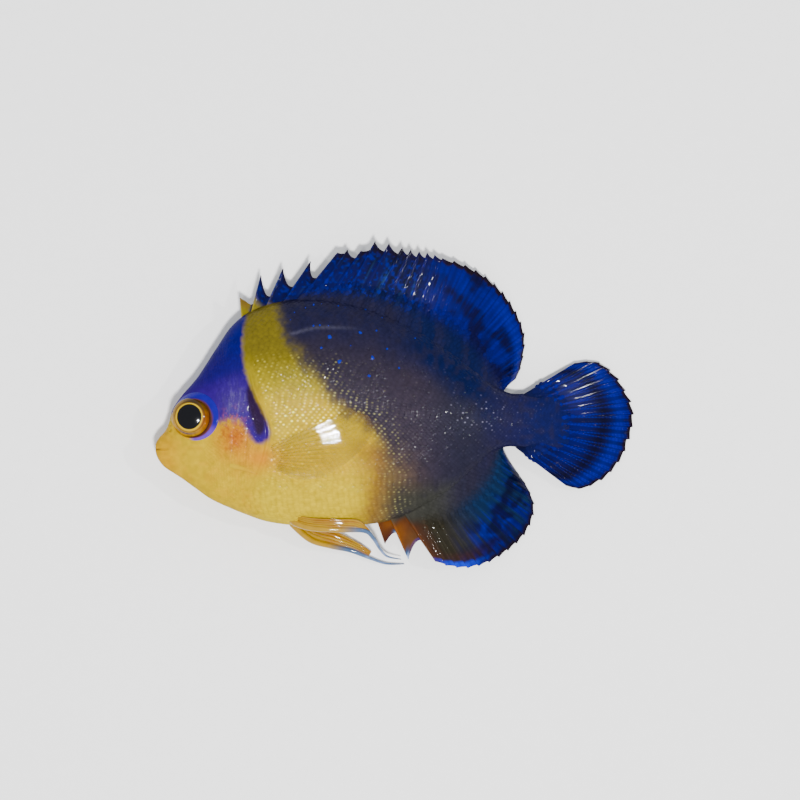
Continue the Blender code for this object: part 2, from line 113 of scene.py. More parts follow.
def ease(x):
    """A smooth step from 0 to 1: 3x squared less 2x cubed, held at both ends."""
    x = np.clip(x, 0, 1)
    return x * x * (3 - 2 * x)


def spline(table, s):
    """A Catmull-Rom curve through the rows of a table: a cubic between two rows whose slopes are half
    the step between the rows on either side. The row number s may be a whole array."""
    table = np.asarray(table, float)
    s = np.clip(np.asarray(s, float), 0, len(table) - 1)
    i = np.minimum(s.astype(int), len(table) - 2)
    t = (s - i)[..., None]
    before, after = np.maximum(i - 1, 0), np.minimum(i + 2, len(table) - 1)
    a, b = table[i], table[i + 1]
    slope_a, slope_b = (b - table[before]) / 2, (table[after] - a) / 2
    return (
        a * (2 * t**3 - 3 * t**2 + 1)
        + slope_a * (t**3 - 2 * t**2 + t)
        + b * (3 * t**2 - 2 * t**3)
        + slope_b * (t**3 - t**2)
    )


def unit(vectors):
    """Vectors scaled to length 1."""
    return vectors / np.linalg.norm(vectors, axis=-1, keepdims=True)


def run_along(points, axis=0, pace=1.0):
    """Length run along a path up to each of its points: its steps, divided by a pace, are summed."""
    steps = np.linalg.norm(np.diff(points, axis=axis), axis=-1) / pace
    return np.concatenate([np.zeros_like(steps.take([0], axis)), np.cumsum(steps, axis)], axis)


def along(points, shares):
    """Points at these shares of a curve's length: the length is summed over short steps and looked up."""
    fine = spline(points, np.linspace(0, len(points) - 1, 400))
    run = run_along(fine)
    shares = np.asarray(shares, float)
    return np.stack([np.interp(shares * run[-1], run, c) for c in fine.T], -1)


def sag(u):
    """How far the tail end hangs below the stiff front: a power of the share of the way to the tip."""
    return SAG * np.clip((u - SAG_START) / (TOTAL_LENGTH - SAG_START), 0, 1) ** 1.7


def on_table(places):
    """Metres from fish millimetres: (u, v, w) shifted to the box's middle, raised to lie, less the sag."""
    u, v, w = np.moveaxis(np.asarray(places, float), -1, 0)
    return np.stack([u - MID_LENGTH, v - MID_HEIGHT, LIE + w - sag(u)], -1) * MM


# %% [markdown]
# ## The body's shape
# A fish's body is a row of sections. Each row of the table has a point on the back line, a point on
# the belly line and half the width between the flanks. A section is an ellipse that is drawn in to a
# keel along the back. A row number and an angle round the section give a point of the skin.

# %% Sections
SECTIONS = np.array([
    (0.00, 0.05, 0.00, -0.05, 0.30), (0.06, 0.60, 0.08, -0.55, 0.68),
    (0.42, 1.15, 0.35, -1.10, 0.98), (0.95, 1.75, 0.85, -1.70, 1.25),
    (1.30, 2.60, 1.60, -2.20, 1.55), (1.62, 3.75, 2.60, -2.85, 1.90),
    (2.45, 5.00, 3.80, -3.72, 2.35), (3.94, 6.75, 5.20, -4.70, 2.85),
    (5.75, 9.53, 6.90, -5.50, 3.35), (7.15, 11.55, 8.60, -6.19, 3.75),
    (8.80, 12.85, 10.30, -6.77, 4.05), (11.20, 13.75, 12.30, -7.10, 4.20),
    (14.50, 14.20, 14.90, -7.30, 4.25), (18.30, 13.80, 18.00, -7.20, 4.10),
    (22.00, 12.70, 21.20, -6.90, 3.70), (25.20, 11.15, 24.30, -5.95, 3.15),
    (28.00, 9.30, 27.20, -4.40, 2.60), (30.20, 7.50, 29.60, -2.40, 2.10),
    (32.00, 5.95, 31.60, -0.45, 1.65), (33.40, 5.25, 33.20, 0.22, 1.35),
    (34.80, 5.20, 34.80, 0.05, 1.15), (36.30, 5.05, 36.30, 0.35, 0.86),
    (37.60, 5.25, 37.60, -0.05, 0.46), (39.00, 5.05, 39.00, 0.10, 0.12),
])
LAST_ROW = len(SECTIONS) - 1
WIDEST = 0.54
BACK_KEEL = 1.15
FLAT = 4.14
GILL_V = np.array([-9.0, -5.55, -2.9, -0.1, 2.26, 5.55, 9.3, 12.3, 16.0])
GILL_U = np.array([6.2, 7.57, 9.36, 10.40, 10.58, 9.36, 8.5, 7.57, 6.9])
EYE = (3.45, 2.95)


def gill(v):
    """The gill cover's rear edge: u as a smooth curve through points down the side of the head."""
    rows = np.interp(v, GILL_V, np.arange(len(GILL_V)))
    return spline(GILL_U[:, None], rows)[..., 0]


def bump(x, middle, width):
    """A bell of height 1: e to the minus square of the distance from its middle over its width."""
    return np.exp(-(((x - middle) / width) ** 2))


# %% [markdown]
# ## The forms of the head
# Bone lies just under the skin of the head and shows through it. The gill cover stands out and ends in
# a step, the bone in front of it makes a soft ridge, the nostrils are two small pits with raised rims,
# and the mouth is a short groove. Each of these is a small height added to the flank.

# %% Relief of the head
NOSTRILS = ((1.45, 1.75), (1.5, 2.3))


def relief(u, v):
    """Millimetres that the skin stands out: the gill cover's flare up to its edge and the furrow behind
    it, the ridge of the cheek bone, the socket, the nostrils and the mouth, each a step or a bell."""
    behind = u - gill(v)
    window = ease((v + 6.5) / 3) * ease((8.5 - v) / 3)
    height = 0.22 * ease(1 + behind / 2.2) * ease(-behind / 0.14) * window
    height = height - 0.10 * bump(behind, 0.14, 0.14) * window
    cheek = np.interp(v, [-4.0, -1.2, 1.5, 4.0, 7.0], [6.0, 7.3, 7.5, 7.7, 8.2])
    ridge_window = ease((v + 3.4) / 1.6) * ease((6.4 - v) / 2.2)
    height = height + 0.09 * ease((u - cheek + 1.6) / 1.6) * ease((cheek - u) / 0.5) * ridge_window
    height = height + 0.035 * np.sin((u - cheek) * 9.0) * bump(u - cheek, 1.2, 0.5) * ridge_window
    round_eye = np.hypot(u - EYE[0], v - EYE[1])
    height = height - 0.95 * ease((1.92 - round_eye) / 0.28)
    for place in NOSTRILS:
        away = np.hypot(u - place[0], v - place[1])
        height = height - 0.26 * ease(1 - away / 0.2) + 0.05 * bump(away, 0.25, 0.07)
    height = height - 0.16 * bump(v, -0.02, 0.08) * ease((1.35 - u) / 0.3)
    return height


PRESSED_PAD = ((15.7, -1.7), (6.0, 2.9), -12.0)


def pressed(u, v, half):
    """How deep the folded right pectoral fin presses into the flank on it: the room that is missing
    under the flank, inside a tilted ellipse."""
    middle, size, turn = PRESSED_PAD
    c, d = math.cos(math.radians(turn)), math.sin(math.radians(turn))
    du, dv = u - middle[0], v - middle[1]
    out = np.hypot((du * c + dv * d) / size[0], (dv * c - du * d) / size[1])
    need = 1.14 - (LIE - np.minimum(half, LIE))
    return np.clip(need, 0, None) * ease(1 - (out - 1) / 0.35)


def skin_at(rows, angle):
    """Fish millimetres of the skin: the point at a share of the line from belly to back, where the
    share follows the angle's cosine, pushed out by the half width times the sine, plus the relief."""
    rows, angle = np.broadcast_arrays(np.asarray(rows, float), np.asarray(angle, float))
    table = spline(SECTIONS, rows)
    c = np.cos(angle)
    share = WIDEST + np.where(c > 0, 1 - WIDEST, WIDEST) * c
    u = table[..., 2] + (table[..., 0] - table[..., 2]) * share
    v = table[..., 3] + (table[..., 1] - table[..., 3]) * share
    swell = np.sin(angle)
    swell = np.sign(swell) * np.abs(swell) ** np.where(c > 0, BACK_KEEL, 1.0)
    bare = swell * table[..., 4]
    w = bare + relief(u, v) * np.clip(swell * 1.5, -1, 1)
    under = np.minimum(np.maximum(w, -FLAT) + pressed(u, v, np.abs(bare)), 0)
    return np.stack([u, v, np.where(bare < 0, under, w)], -1)


def flank(u, v):
    """Half width of the body at (u, v): the section line through the point is found by halving."""
    u, v = np.broadcast_arrays(np.asarray(u, float), np.asarray(v, float))
    low, high = np.zeros(u.shape), np.full(u.shape, float(LAST_ROW))
    for _ in range(26):
        s = (low + high) / 2
        row = spline(SECTIONS, s)
        rise_u, rise_v = row[..., 0] - row[..., 2], row[..., 1] - row[..., 3]
        ahead = rise_u * (v - row[..., 3]) - rise_v * (u - row[..., 2]) > 0
        low, high = np.where(ahead, low, s), np.where(ahead, s, high)
    share = ((u - row[..., 2]) * rise_u + (v - row[..., 3]) * rise_v) / (rise_u**2 + rise_v**2)
    c = np.where(share > WIDEST, (share - WIDEST) / (1 - WIDEST), (WIDEST - share) / WIDEST)
    return row[..., 4] * np.sqrt(np.clip(1 - c * c, 0, 1)) ** np.where(share > WIDEST, BACK_KEEL, 1.0)


def edge_line(side, places):
    """Height v of the back (side 1) or of the belly (side -1) at these u."""
    table = spline(SECTIONS, np.linspace(0, LAST_ROW, 400))
    pick = table[:, 0:2] if side > 0 else table[:, 2:4]
    return np.interp(places, pick[:, 0], pick[:, 1])


print("widest half", SECTIONS[:, 4].max(), "mm; back at mid body", round(float(edge_line(1, 15.0)), 2), "mm")

# %% [markdown]
# ## From arrays to meshes
# A grid of points becomes a mesh when its quads are numbered. A body is a grid of rings whose two ends
# are closed by a fan. A fin is a grid that is lifted and lowered by half its thickness and joined round
# its edge. Every mesh carries a colour at each point, so that markings can be painted with numpy.


# %% Grids, bodies and sheets
def grid_quads(rows, columns, round_rows=False, round_columns=False, start=0):
    """Point numbers of a grid's quads: each point with its neighbours right, across and below."""
    r = np.arange(rows if round_rows else rows - 1)[:, None]
    c = np.arange(columns if round_columns else columns - 1)[None, :]
    below, right = (r + 1) % rows, (c + 1) % columns
    quads = [r * columns + c, r * columns + right, below * columns + right, below * columns + c]
    return np.stack(quads, -1).reshape(-1, 4) + start


def closed_rings(rings, tint):
    """A body through rings of points: quads between them, and a fan on the middle of each end ring."""
    count, sides = rings.shape[:2]
    points = np.concatenate([rings.reshape(-1, 3), [rings[0].mean(0)], [rings[-1].mean(0)]])
    tints = np.concatenate([tint.reshape(-1, 3), [tint[0].mean(0)], [tint[-1].mean(0)]])
    k = np.arange(sides)
    n = (k + 1) % sides
    last = (count - 1) * sides
    fans = np.concatenate([
        np.stack([np.full(sides, count * sides), n, k], 1),
        np.stack([np.full(sides, count * sides + 1), last + k, last + n], 1),
    ])
    return points, grid_quads(count, sides, round_columns=True), fans, tints


def closed_sheet(middle, half, tint):
    """A thin sheet: the middle surface raised and lowered by half its thickness, joined at its edge."""
    rows, columns = half.shape
    count = rows * columns
    up, down = middle.copy(), middle.copy()
    up[..., 2] += half
    down[..., 2] -= half
    edge = np.concatenate([
        np.arange(columns),
        columns * np.arange(1, rows) + columns - 1,
        (rows - 1) * columns + np.arange(columns - 2, -1, -1),
        columns * np.arange(rows - 2, 0, -1),
    ])
    after = np.roll(edge, -1)
    rim = np.stack([after, edge, edge + count, after + count], 1)
    quads = [grid_quads(rows, columns), grid_quads(rows, columns, start=count)[:, ::-1], rim]
    points = np.concatenate([up.reshape(-1, 3), down.reshape(-1, 3)])
    return points, np.concatenate(quads), np.zeros((0, 3), int), np.tile(tint.reshape(-1, 3), (2, 1))


def enclosed(points, quads, fans):
    """Volume of a closed mesh: a sixth of the sum of each triangle's box product, negative if inside out."""
    tris = np.concatenate([quads[:, [0, 1, 2]], quads[:, [0, 2, 3]], fans])
    a, b, c = points[tris[:, 0]], points[tris[:, 1]], points[tris[:, 2]]
    return float(np.einsum("ij,ij->i", a, np.cross(b, c)).sum() / 6)


def new_piece(name, points, quads, fans, tint, patch=None, wet=None):
    """A mesh object from whole arrays, its faces turned outwards, smooth but for its sharp edges, with
    its tint and how wet it looks at each point and, where given, a map of where each point lies on an
    unwrapped skin."""
    if enclosed(points, quads, fans) < 0:
        quads, fans = quads[:, ::-1], fans[:, ::-1]
    corners = np.concatenate([quads.reshape(-1), fans.reshape(-1)]).astype(np.int32)
    sizes = np.concatenate([np.full(len(quads), 4), np.full(len(fans), 3)])
    mesh = bpy.data.meshes.new(name)
    mesh.vertices.add(len(points))
    mesh.vertices.foreach_set("co", points.astype(np.float32).ravel())
    mesh.loops.add(len(corners))
    mesh.loops.foreach_set("vertex_index", corners)
    mesh.polygons.add(len(sizes))
    mesh.polygons.foreach_set("loop_start", np.concatenate([[0], np.cumsum(sizes)[:-1]]).astype(np.int32))
    mesh.update(calc_edges=True)
    mesh.validate()
    paint = mesh.attributes.new("tint", "FLOAT_COLOR", "POINT")
    colours = np.concatenate([np.clip(tint, 0, 1), np.ones((len(tint), 1))], 1)
    paint.data.foreach_set("color", colours.astype(np.float32).ravel())
    film = mesh.attributes.new("wet", "FLOAT", "POINT")
    film.data.foreach_set("value", (np.ones(len(points)) if wet is None else wet.ravel()).astype(np.float32))
    if patch is not None:
        layer = mesh.uv_layers.new(name="OFBake")
        layer.data.foreach_set("uv", patch[corners].astype(np.float32).ravel())
    mesh.shade_smooth()
    mesh.set_sharp_from_angle(angle=math.radians(55))
    made = bpy.data.objects.new(name, mesh)
    bpy.context.scene.collection.objects.link(made)
    print(name, len(points), "points,", 2 * len(quads) + len(fans), "triangles")
    return made


# %% [markdown]
# ## The colours
# The paints are given as linear light. The markings are laid on in layers, as a painter
# would: a yellow ground, the dusk of the rear body, the olive band of the nape, then the blue mask and
# the small notes of colour. Each layer has an outline on the flank and a soft edge.

# %% Paints
PAINT = {
    "gold": (0.35, 0.235, 0.0002), "deep gold": (0.37, 0.230, 0.0002),
    "pale gold": (0.41, 0.295, 0.0002), "snout": (0.38, 0.205, 0.0002), "throat": (0.38, 0.245, 0.0002),
    "orange": (0.34, 0.085, 0.001), "soft orange": (0.42, 0.16, 0.002), "ember": (0.26, 0.040, 0.002),
    "olive": (0.090, 0.070, 0.006), "light olive": (0.18, 0.14, 0.004), "pearl": (0.90, 0.86, 0.20),
    "royal": (0.0075, 0.0008, 0.085), "violet": (0.019, 0.0010, 0.115), "ring": (0.0075, 0.0008, 0.175),
    "pale ring": (0.060, 0.012, 0.32), "lavender": (0.060, 0.040, 0.14),
    "indigo": (0.0110, 0.0030, 0.0170), "dusk": (0.0190, 0.0140, 0.0225),
    "grey dusk": (0.0082, 0.0088, 0.0190), "dark dusk": (0.0115, 0.0092, 0.018),
    "navy": (0.0008, 0.0034, 0.028), "stalk": (0.0065, 0.0060, 0.028), "brown": (0.115, 0.050, 0.012),
    "bronze": (0.075, 0.046, 0.020), "grey green": (0.020, 0.0205, 0.016), "silver": (0.40, 0.38, 0.48),
    "spot": (0.0006, 0.010, 0.24), "tail blue": (0.0020, 0.0012, 0.085),
    "deep blue": (0.0012, 0.0011, 0.040), "night": (0.0010, 0.0007, 0.0120),
    "bright blue": (0.0008, 0.0030, 0.14), "azure": (0.0010, 0.018, 0.42),
    "teal": (0.0018, 0.0115, 0.040), "tail root": (0.0022, 0.0040, 0.043),
    "margin": (0.0055, 0.0020, 0.0058), "dark olive": (0.014, 0.0118, 0.0060),
    "rust": (0.065, 0.0125, 0.0045), "fin orange": (0.20, 0.060, 0.003), "steel": (0.020, 0.065, 0.15),
    "ice": (0.35, 0.45, 0.75), "pelvic gold": (0.27, 0.150, 0.0004), "ray gold": (0.34, 0.20, 0.002),
    "iris brown": (0.017, 0.0085, 0.0035), "iris orange": (0.26, 0.055, 0.001),
    "iris rim": (0.075, 0.022, 0.003), "iris yellow": (0.36, 0.19, 0.001),
    "gold ring": (0.42, 0.27, 0.0003), "crescent": (0.040, 0.036, 0.075),
    "pupil": (0.0008, 0.0008, 0.0016),
}


def ground(like, name):
    """One paint at every point of an array's shape."""
    return np.zeros((*np.shape(like), 3)) + np.array(PAINT[name])


def over(under, share, name, strength=1.0):
    """A paint laid over the colours below: a mix by its share at each point."""
    share = np.clip(share * strength, 0, 1)[..., None]
    return under * (1 - share) + np.array(PAINT[name]) * share


def layered(colour, *layers):
    """Paints laid over each other in turn, each given as its share, its name and its strength."""
    for layer in layers:
        colour = over(colour, *layer)
    return colour


def mottle(u, v, size, seed):
    """Soft noise from 0 to 1: seeded random values on a lattice of this size, eased between corners."""
    values = np.random.default_rng(seed).random((257, 257))
    x, y = np.asarray(u) / size + 71.3, np.asarray(v) / size + 93.7
    i, j = np.floor(x).astype(int), np.floor(y).astype(int)
    s, t = ease(x - i), ease(y - j)
    i, j = i % 256, j % 256
    near = values[i, j] * (1 - s) + values[i + 1, j] * s
    far = values[i, j + 1] * (1 - s) + values[i + 1, j + 1] * s
    return near * (1 - t) + far * t


def inside(outline, u, v):
    """Distance in from a smooth closed outline, negative outside it: the least distance to its short
    edges, with the sign from how often a line from the point crosses them."""
    outline = np.array([*outline, outline[0]], float)
    loop = spline(outline, np.linspace(0, len(outline) - 1, 6 * len(outline)))
    least = np.full(np.shape(u), np.inf)
    within = np.zeros(np.shape(u), bool)
    for (a, b), (c, d) in zip(loop[:-1], np.diff(loop, axis=0)):
        t = np.clip(((u - a) * c + (v - b) * d) / (c * c + d * d + 1e-12), 0, 1)
        least = np.minimum(least, np.hypot(u - a - t * c, v - b - t * d))
        if abs(d) > 1e-9:
            within ^= ((b > v) != (b + d > v)) & (u < a + (v - b) * c / d)
    return np.where(within, least, -least)


# %% Markings of the flank
MASK = [
    (0.6, 3.5), (0.6, 6.5), (4.0, 12.0), (7.0, 15.5), (8.9, 15.0), (8.55, 12.5), (8.33, 10.8),
    (8.3, 9.2), (8.5, 7.6), (8.9, 6.3), (9.8, 4.3), (10.5, 2.9), (10.9, 1.9), (10.85, 1.1),
    (10.2, 0.55), (9.5, 0.65), (9.0, 1.3), (8.45, 2.3), (7.8, 2.7), (6.9, 2.7), (5.9, 2.6), (3.5, 3.0),
    (1.6, 3.3),
]
DUSK = [
    (11.6, 14.5), (12.1, 11.7), (13.5, 9.3), (15.2, 6.5), (17.1, 3.9), (19.4, 2.5), (20.9, 0.6),
    (21.5, -2.0), (21.3, -4.8), (21.2, -6.7), (21.2, -14.0), (34.0, -14.0), (50.0, -8.0), (50.0, 12.0),
    (34.0, 22.0), (14.0, 22.0),
]
CHEEK_SPOT = [
    (8.9, 6.3), (9.7, 5.2), (10.35, 3.7), (10.45, 2.2), (10.1, 1.4), (9.6, 1.5), (9.25, 2.6),
    (8.9, 3.8), (8.7, 5.2),
]


def markings(u, v):
    """Linear colour of the flank at (u, v): paints laid over each other, each with a share from its
    outline, a blend of v or a bell, broken up by soft noise."""
    u, v = np.asarray(u, float), np.asarray(v, float)
    wide, fine = mottle(u, v, 1.3, 3), mottle(u, v, 0.28, 4)
    tuft = 0.4 * mottle(u, v * 0.28, 0.16, 7) + 0.6 * mottle(u, v, 0.22, 17)
    band = ease((u - 8.0) / 0.6)
    rear = inside(DUSK, u, v) + (wide - 0.5) * 0.6 + (fine - 0.5) * 0.6
    low = ease((2 - v) / 6)
    dusk = 1 - (1 - ease((rear - 0.35 - 0.55 * low) / (2.6 + 1.8 * low) + 0.5)) ** 2.2
    depth = edge_line(1, u) - v
    pale_line = bump(v, 10.9 + 0.5 * ease((u - 12.5) / 3) - 0.05 * (u - 16) ** 2 / 4, 0.16)
    colour = layered(
        ground(u, "gold"),
        (ease((2.5 - v) / 4) * ease((u - 10.5) / 2), "deep gold"),
        (ease((-1.2 - v) / 3.5) * ease((u - 6) / 5), "pale gold", 0.75),
        (ease((10.5 - u) / 2) * ease((2 - v) / 3), "throat"),
        (ease((3.4 - u) / 2.6) * ease((3.0 - v) / 2.5), "snout"),
        (bump(u, 7.7, 1.75) * bump(v, 1.1, 1.9), "orange", 0.95),
        (bump(u, 7.3, 1.2) * bump(v, 1.3, 1.5) * ease(tuft * 2.6 - 0.9), "ember", 0.75),
        (bump(u, 7.7, 1.3) * bump(v, 1.5, 1.1) * ease(tuft * 5 - 2.7), "brown", 0.6),
        (bump(u, 9.9, 1.9) * bump(v, -0.8, 1.15), "soft orange", 1.0),
        (ease(mottle(u, v, 0.5, 16) * 2.2 - 1.1) * ease((11 - u) / 2), "soft orange", 0.16),
        (band * ease((v - 3.4) / 3.6), "light olive", 0.9),
        (band * ease((v - 6.4 + wide) / 3.8), "olive"),
        (ease((11.6 - u) / 3) * ease((v - 12.4) / 1.2), "dark olive", 0.5),
        (bump(rear, -0.5, 1.5) * ease((u - 16) / 3) * ease((1.5 - v) / 2), "brown", 0.85),
        (dusk, "dusk"),
        (dusk * bump(u, 22.3, 2.3) * bump(v, -3.8, 3.0), "bronze", 0.85),
        (dusk * ease((u - 24) / 5) * ease((9 - v) / 3), "grey dusk", 0.8),
        (dusk * ease((-2.2 - v) / 2.5) * ease((u - 21) / 2), "grey green", 0.9),
        (dusk * ease((5.0 - depth + wide) / 3.6), "navy", 0.96),
        (dusk * ease((u - 29) / 4.5), "stalk"),
        (ease((u - 32.4) / 4.2), "tail root", 0.8),
        (dusk * ease((v - 5) / 3) * ease((26 - u) / 4), "dark dusk", 0.5),
        (dusk * ease((mottle(u, v, 0.5, 9) - 0.45) * 2.4), "dark dusk", 0.35),
        (dusk * pale_line * ease((u - 12) / 1) * ease((20 - u) / 4), "silver", 0.05),
    )
    blurred = bump(u, 7.1, 1.5) * bump(v, 2.7, 1.3)
    mask = inside(MASK, u, v) + (fine - 0.5) * 0.16 + (tuft - 0.5) * 1.3 * blurred
    share = ease(mask / (0.55 + 0.7 * blurred) + 0.5)
    grain = ease(mottle(u, v * 0.2, 0.10, 11) * 2.4 - 1.2)
    blue = layered(
        ground(u, "royal"),
        (ease((7.4 - v + (u - 6) * 0.25) / 2.2), "violet", 0.9),
        (bump(u, 7.8, 1.5) * bump(v, 4.2, 1.5), "lavender", 0.42),
        # Painted glints: silver specks on the lower mask's scales.
        (grain * bump(u, 7.9, 1.4) * bump(v, 4.4, 1.6), "silver", 0.09),
        (ease((v - 7.5) / 3), "tail blue", 0.8),
        (ease(inside(CHEEK_SPOT, u, v) / 0.5 + 0.5), "indigo", 0.95),
    )
    colour = colour * (1 - share[..., None]) + blue * share[..., None]
    colour = over(colour, bump(u, 7.3, 1.1) * bump(v, 2.7, 0.9) * ease(tuft * 4 - 2.0), "orange", 0.6)
    return colour * (0.90 + 0.2 * fine[..., None])


def gloss(u, v):
    """How wet the flank looks, from 0.04 up: bells over the band, the stalk's front and the cheek, on a
    low ground, and least on the forehead."""
    share = 0.20 + 0.5 * bump(u, 13.0, 4.6) * bump(v, 3.4, 3.8) + 0.5 * bump(u, 29.5, 4.5) * bump(v, 2.9, 1.5)
    share = share + 0.6 * bump(u, 9.3, 1.8) * bump(v, 1.6, 1.9) - 0.12 * ease((8 - u) / 3)
    return np.clip(share, 0.04, 1.5)


# %% [markdown]
# ## The skin
# The skin is one surface from the snout to the tail stalk. It stands for the head, torso and tail stalk
# together, because the real fish has no seam there. The rings lie closer together on the head, where
# the small forms are.

# %% Skin
SIDES = 280
HEAD_RINGS = 232
REAR_RINGS = 120
HEAD_END = 11.4
fine_rows = np.linspace(0, LAST_ROW, 900)
fine_table = spline(SECTIONS, fine_rows)
run = (run_along(fine_table[:, :2]) + run_along(fine_table[:, 2:4])) / 2
head_run = float(np.interp(HEAD_END, (fine_table[:, 0] + fine_table[:, 2]) / 2, run))
spacing = np.append(np.linspace(0, head_run, HEAD_RINGS), np.linspace(head_run, run[-1], REAR_RINGS)[1:])
ring_rows = np.interp(spacing, run, fine_rows)
ring_angles = np.arange(SIDES) / SIDES * 2 * math.pi
skin_places = skin_at(ring_rows[:, None], ring_angles[None, :])
u, v = skin_places[..., 0], skin_places[..., 1]
# Painted shade: brown inside the mouth slit at the snout tip.
skin_tint = over(markings(u, v), ease((0.7 - u) / 0.4) * bump(v, -0.02, 0.07), "brown", 0.8)
skin_gloss = gloss(u, v) * (0.4 - 0.34 * ease(u - 10.4))
skin_gloss = np.concatenate([skin_gloss.ravel(), skin_gloss[0, :1], skin_gloss[-1, :1]])
skin = new_piece("skin", *closed_rings(on_table(skin_places), skin_tint), wet=skin_gloss)


# %% [markdown]
# ## A wet finish
# Living skin is coloured under a clear wet layer. The shader's base takes the painted colour, with a
# little noise so that no patch is flat, and a fine grain lifts and lowers the surface under the coat.
# The coat itself is left smooth: its reflections stay small and sharp, and the dark skin stays dark.


# %% Finish
SPECULAR = 0.005


def add(material, kind, **settings):
    """A new node of this kind in a material, with sockets set: to_min=1 sets the socket To Min."""
    made = material.node_tree.nodes.new(kind)
    for words, value in settings.items():
        made.inputs[words.replace("_", " ").title()].default_value = value
    return made


def finish(name, grain=0.00012, depth=0.00001, rough=(0.32, 0.5), coat=0.8, coat_rough=0.08, clear=1.0,
           variation=0.22):
    """A wet material: tint times noise for the colour, noise for the roughness and for the bump, and a
    coat as strong as the piece is wet at each point."""
    made = bpy.data.materials.new(name)
    made.use_nodes = True
    link = made.node_tree.links.new
    shader = made.node_tree.nodes["Principled BSDF"]
    place = add(made, "ShaderNodeTexCoord").outputs["Object"]
    tint, film = add(made, "ShaderNodeAttribute"), add(made, "ShaderNodeAttribute")
    tint.attribute_name, film.attribute_name = "tint", "wet"
    cloud = add(made, "ShaderNodeTexNoise", scale=1 / (grain * 5), detail=4)
    speck = add(made, "ShaderNodeTexNoise", scale=1 / grain, detail=3)
    tone = add(made, "ShaderNodeMapRange", to_min=1 - variation, to_max=1 + variation)
    dull = add(made, "ShaderNodeMapRange", to_min=rough[0], to_max=rough[1])
    raised = add(made, "ShaderNodeBump", strength=1.0, distance=depth)
    mixed, share = add(made, "ShaderNodeVectorMath"), add(made, "ShaderNodeMath")
    mixed.operation, share.operation = "SCALE", "MULTIPLY"
    share.inputs[1].default_value = coat
    link(place, cloud.inputs["Vector"])
    link(place, speck.inputs["Vector"])
    link(cloud.outputs["Fac"], tone.inputs["Value"])
    link(tint.outputs["Color"], mixed.inputs["Vector"])
    link(tone.outputs["Result"], mixed.inputs["Scale"])
    link(mixed.outputs["Vector"], shader.inputs["Base Color"])
    link(speck.outputs["Fac"], dull.inputs["Value"])
    link(dull.outputs["Result"], shader.inputs["Roughness"])
    link(speck.outputs["Fac"], raised.inputs["Height"])
    link(raised.outputs["Normal"], shader.inputs["Normal"])
    link(film.outputs["Fac"], share.inputs[0])
    link(share.outputs["Value"], shader.inputs["Coat Weight"])
    shader.inputs["Coat Roughness"].default_value = coat_rough
    shader.inputs["Specular IOR Level"].default_value = SPECULAR
    shader.inputs["Alpha"].default_value = clear
    return made


def dress(piece, material, slot, *nodes):
    """Gives a piece its finish, lets it ride with the fish and hides the solids it stands for."""
    piece.data.materials.clear()
    piece.data.materials.append(material)
    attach(piece, "root")
    if nodes:
        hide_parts(*nodes)


wet_skin = finish("wet_skin", grain=0.00011, depth=0.000012)
dress(skin, wet_skin, "flank_skin", "head", "torso", "tail_stalk")

# %% [markdown]
# ## The scales
# Angelfish have small comb-edged scales that overlap like roof tiles, with the free edge to the rear.
# Real rows follow the flank, so each row here is a line at a fixed distance over the skin from the
# line of the flank's widest points. Along it sit thin lens-shaped plates, half a step on in every
# other row. One small plate is repeated some thousands of times, so it has only 24 faces.


# %% Rows over the flank
ROW_STEPS = 420
ANGLE_STEPS = 260
MOST_ROWS = 70


def scale_frame(tail, across, side):
    """Three unit directions at each scale: tailwards, across, and out of the skin on this side."""
    tail = unit(tail)
    out = unit(np.cross(tail, across))
    out = out * np.sign(out[:, 2:3] * side + 1e-9)
    return tail, np.cross(out, tail), out


def scale_roots(side, pitch, cover, first_row, last_row, seed):
    """Where scales sit and which way they face: for each section the distance over the skin is summed
    from the widest line and turned back into angles, rows are joined along the body, and places are
    taken at equal steps. The frame is tailwards, across and out of the skin."""
    rng = np.random.default_rng(seed)
    rows = np.linspace(first_row, last_row, ROW_STEPS)
    angles = np.linspace(0.02, math.pi - 0.02, ANGLE_STEPS)
    net = skin_at(rows[:, None], side * angles[None, :])
    size = np.interp(net[:, ANGLE_STEPS // 2, 0], [0, 9, 14, 28, 36, 39], [0.9, 0.95, 1.0, 0.86, 0.62, 0.55])
    over_skin = run_along(net, axis=1)
    middle = np.array([np.interp(math.pi / 2, angles, line) for line in over_skin])
    over_skin = over_skin - middle[:, None]
    numbers = np.arange(-MOST_ROWS, MOST_ROWS + 1)
    turned = np.array([
        np.interp(numbers * pitch / 2 * small, line, angles, left=np.nan, right=np.nan)
        for line, small in zip(over_skin, size)
    ])
    roots = []
    for column, number in zip(turned.T, numbers):
        there = ~np.isnan(column)
        if there.sum() < 6:
            continue
        s, a, small = rows[there], column[there], size[there]
        path = skin_at(s, side * a)
        length = run_along(path, pace=small[1:])
        spots = np.arange(pitch * (0.25 + 0.5 * (number % 2)), length[-1], pitch)
        spots = spots + rng.uniform(-0.06, 0.06, len(spots)) * pitch
        roots.append(np.stack([np.interp(spots, length, c) for c in (s, a, small)], 1))
    roots = np.concatenate(roots)
    roots[:, 1] += rng.uniform(-0.002, 0.002, len(roots))
    place = skin_at(roots[:, 0], side * roots[:, 1])
    shown = cover(place[:, 0], place[:, 1])
    roots, place, shown = roots[shown > 0.02], place[shown > 0.02], shown[shown > 0.02]
    row, turn = roots[:, 0], side * roots[:, 1]
    tail = skin_at(row + 0.03, turn) - skin_at(row - 0.03, turn)
    across = skin_at(row, turn - 0.02) - skin_at(row, turn + 0.02)
    unwrap = np.stack([row / LAST_ROW, (turn / math.pi + 1) / 2], 1) * 0.98 + 0.01
    return place, *scale_frame(tail, across, side), roots[:, 2], unwrap, shown


# %% One plate, many times
RIM = 8
PLATE_LONG = 0.74
PLATE_WIDE = 0.60


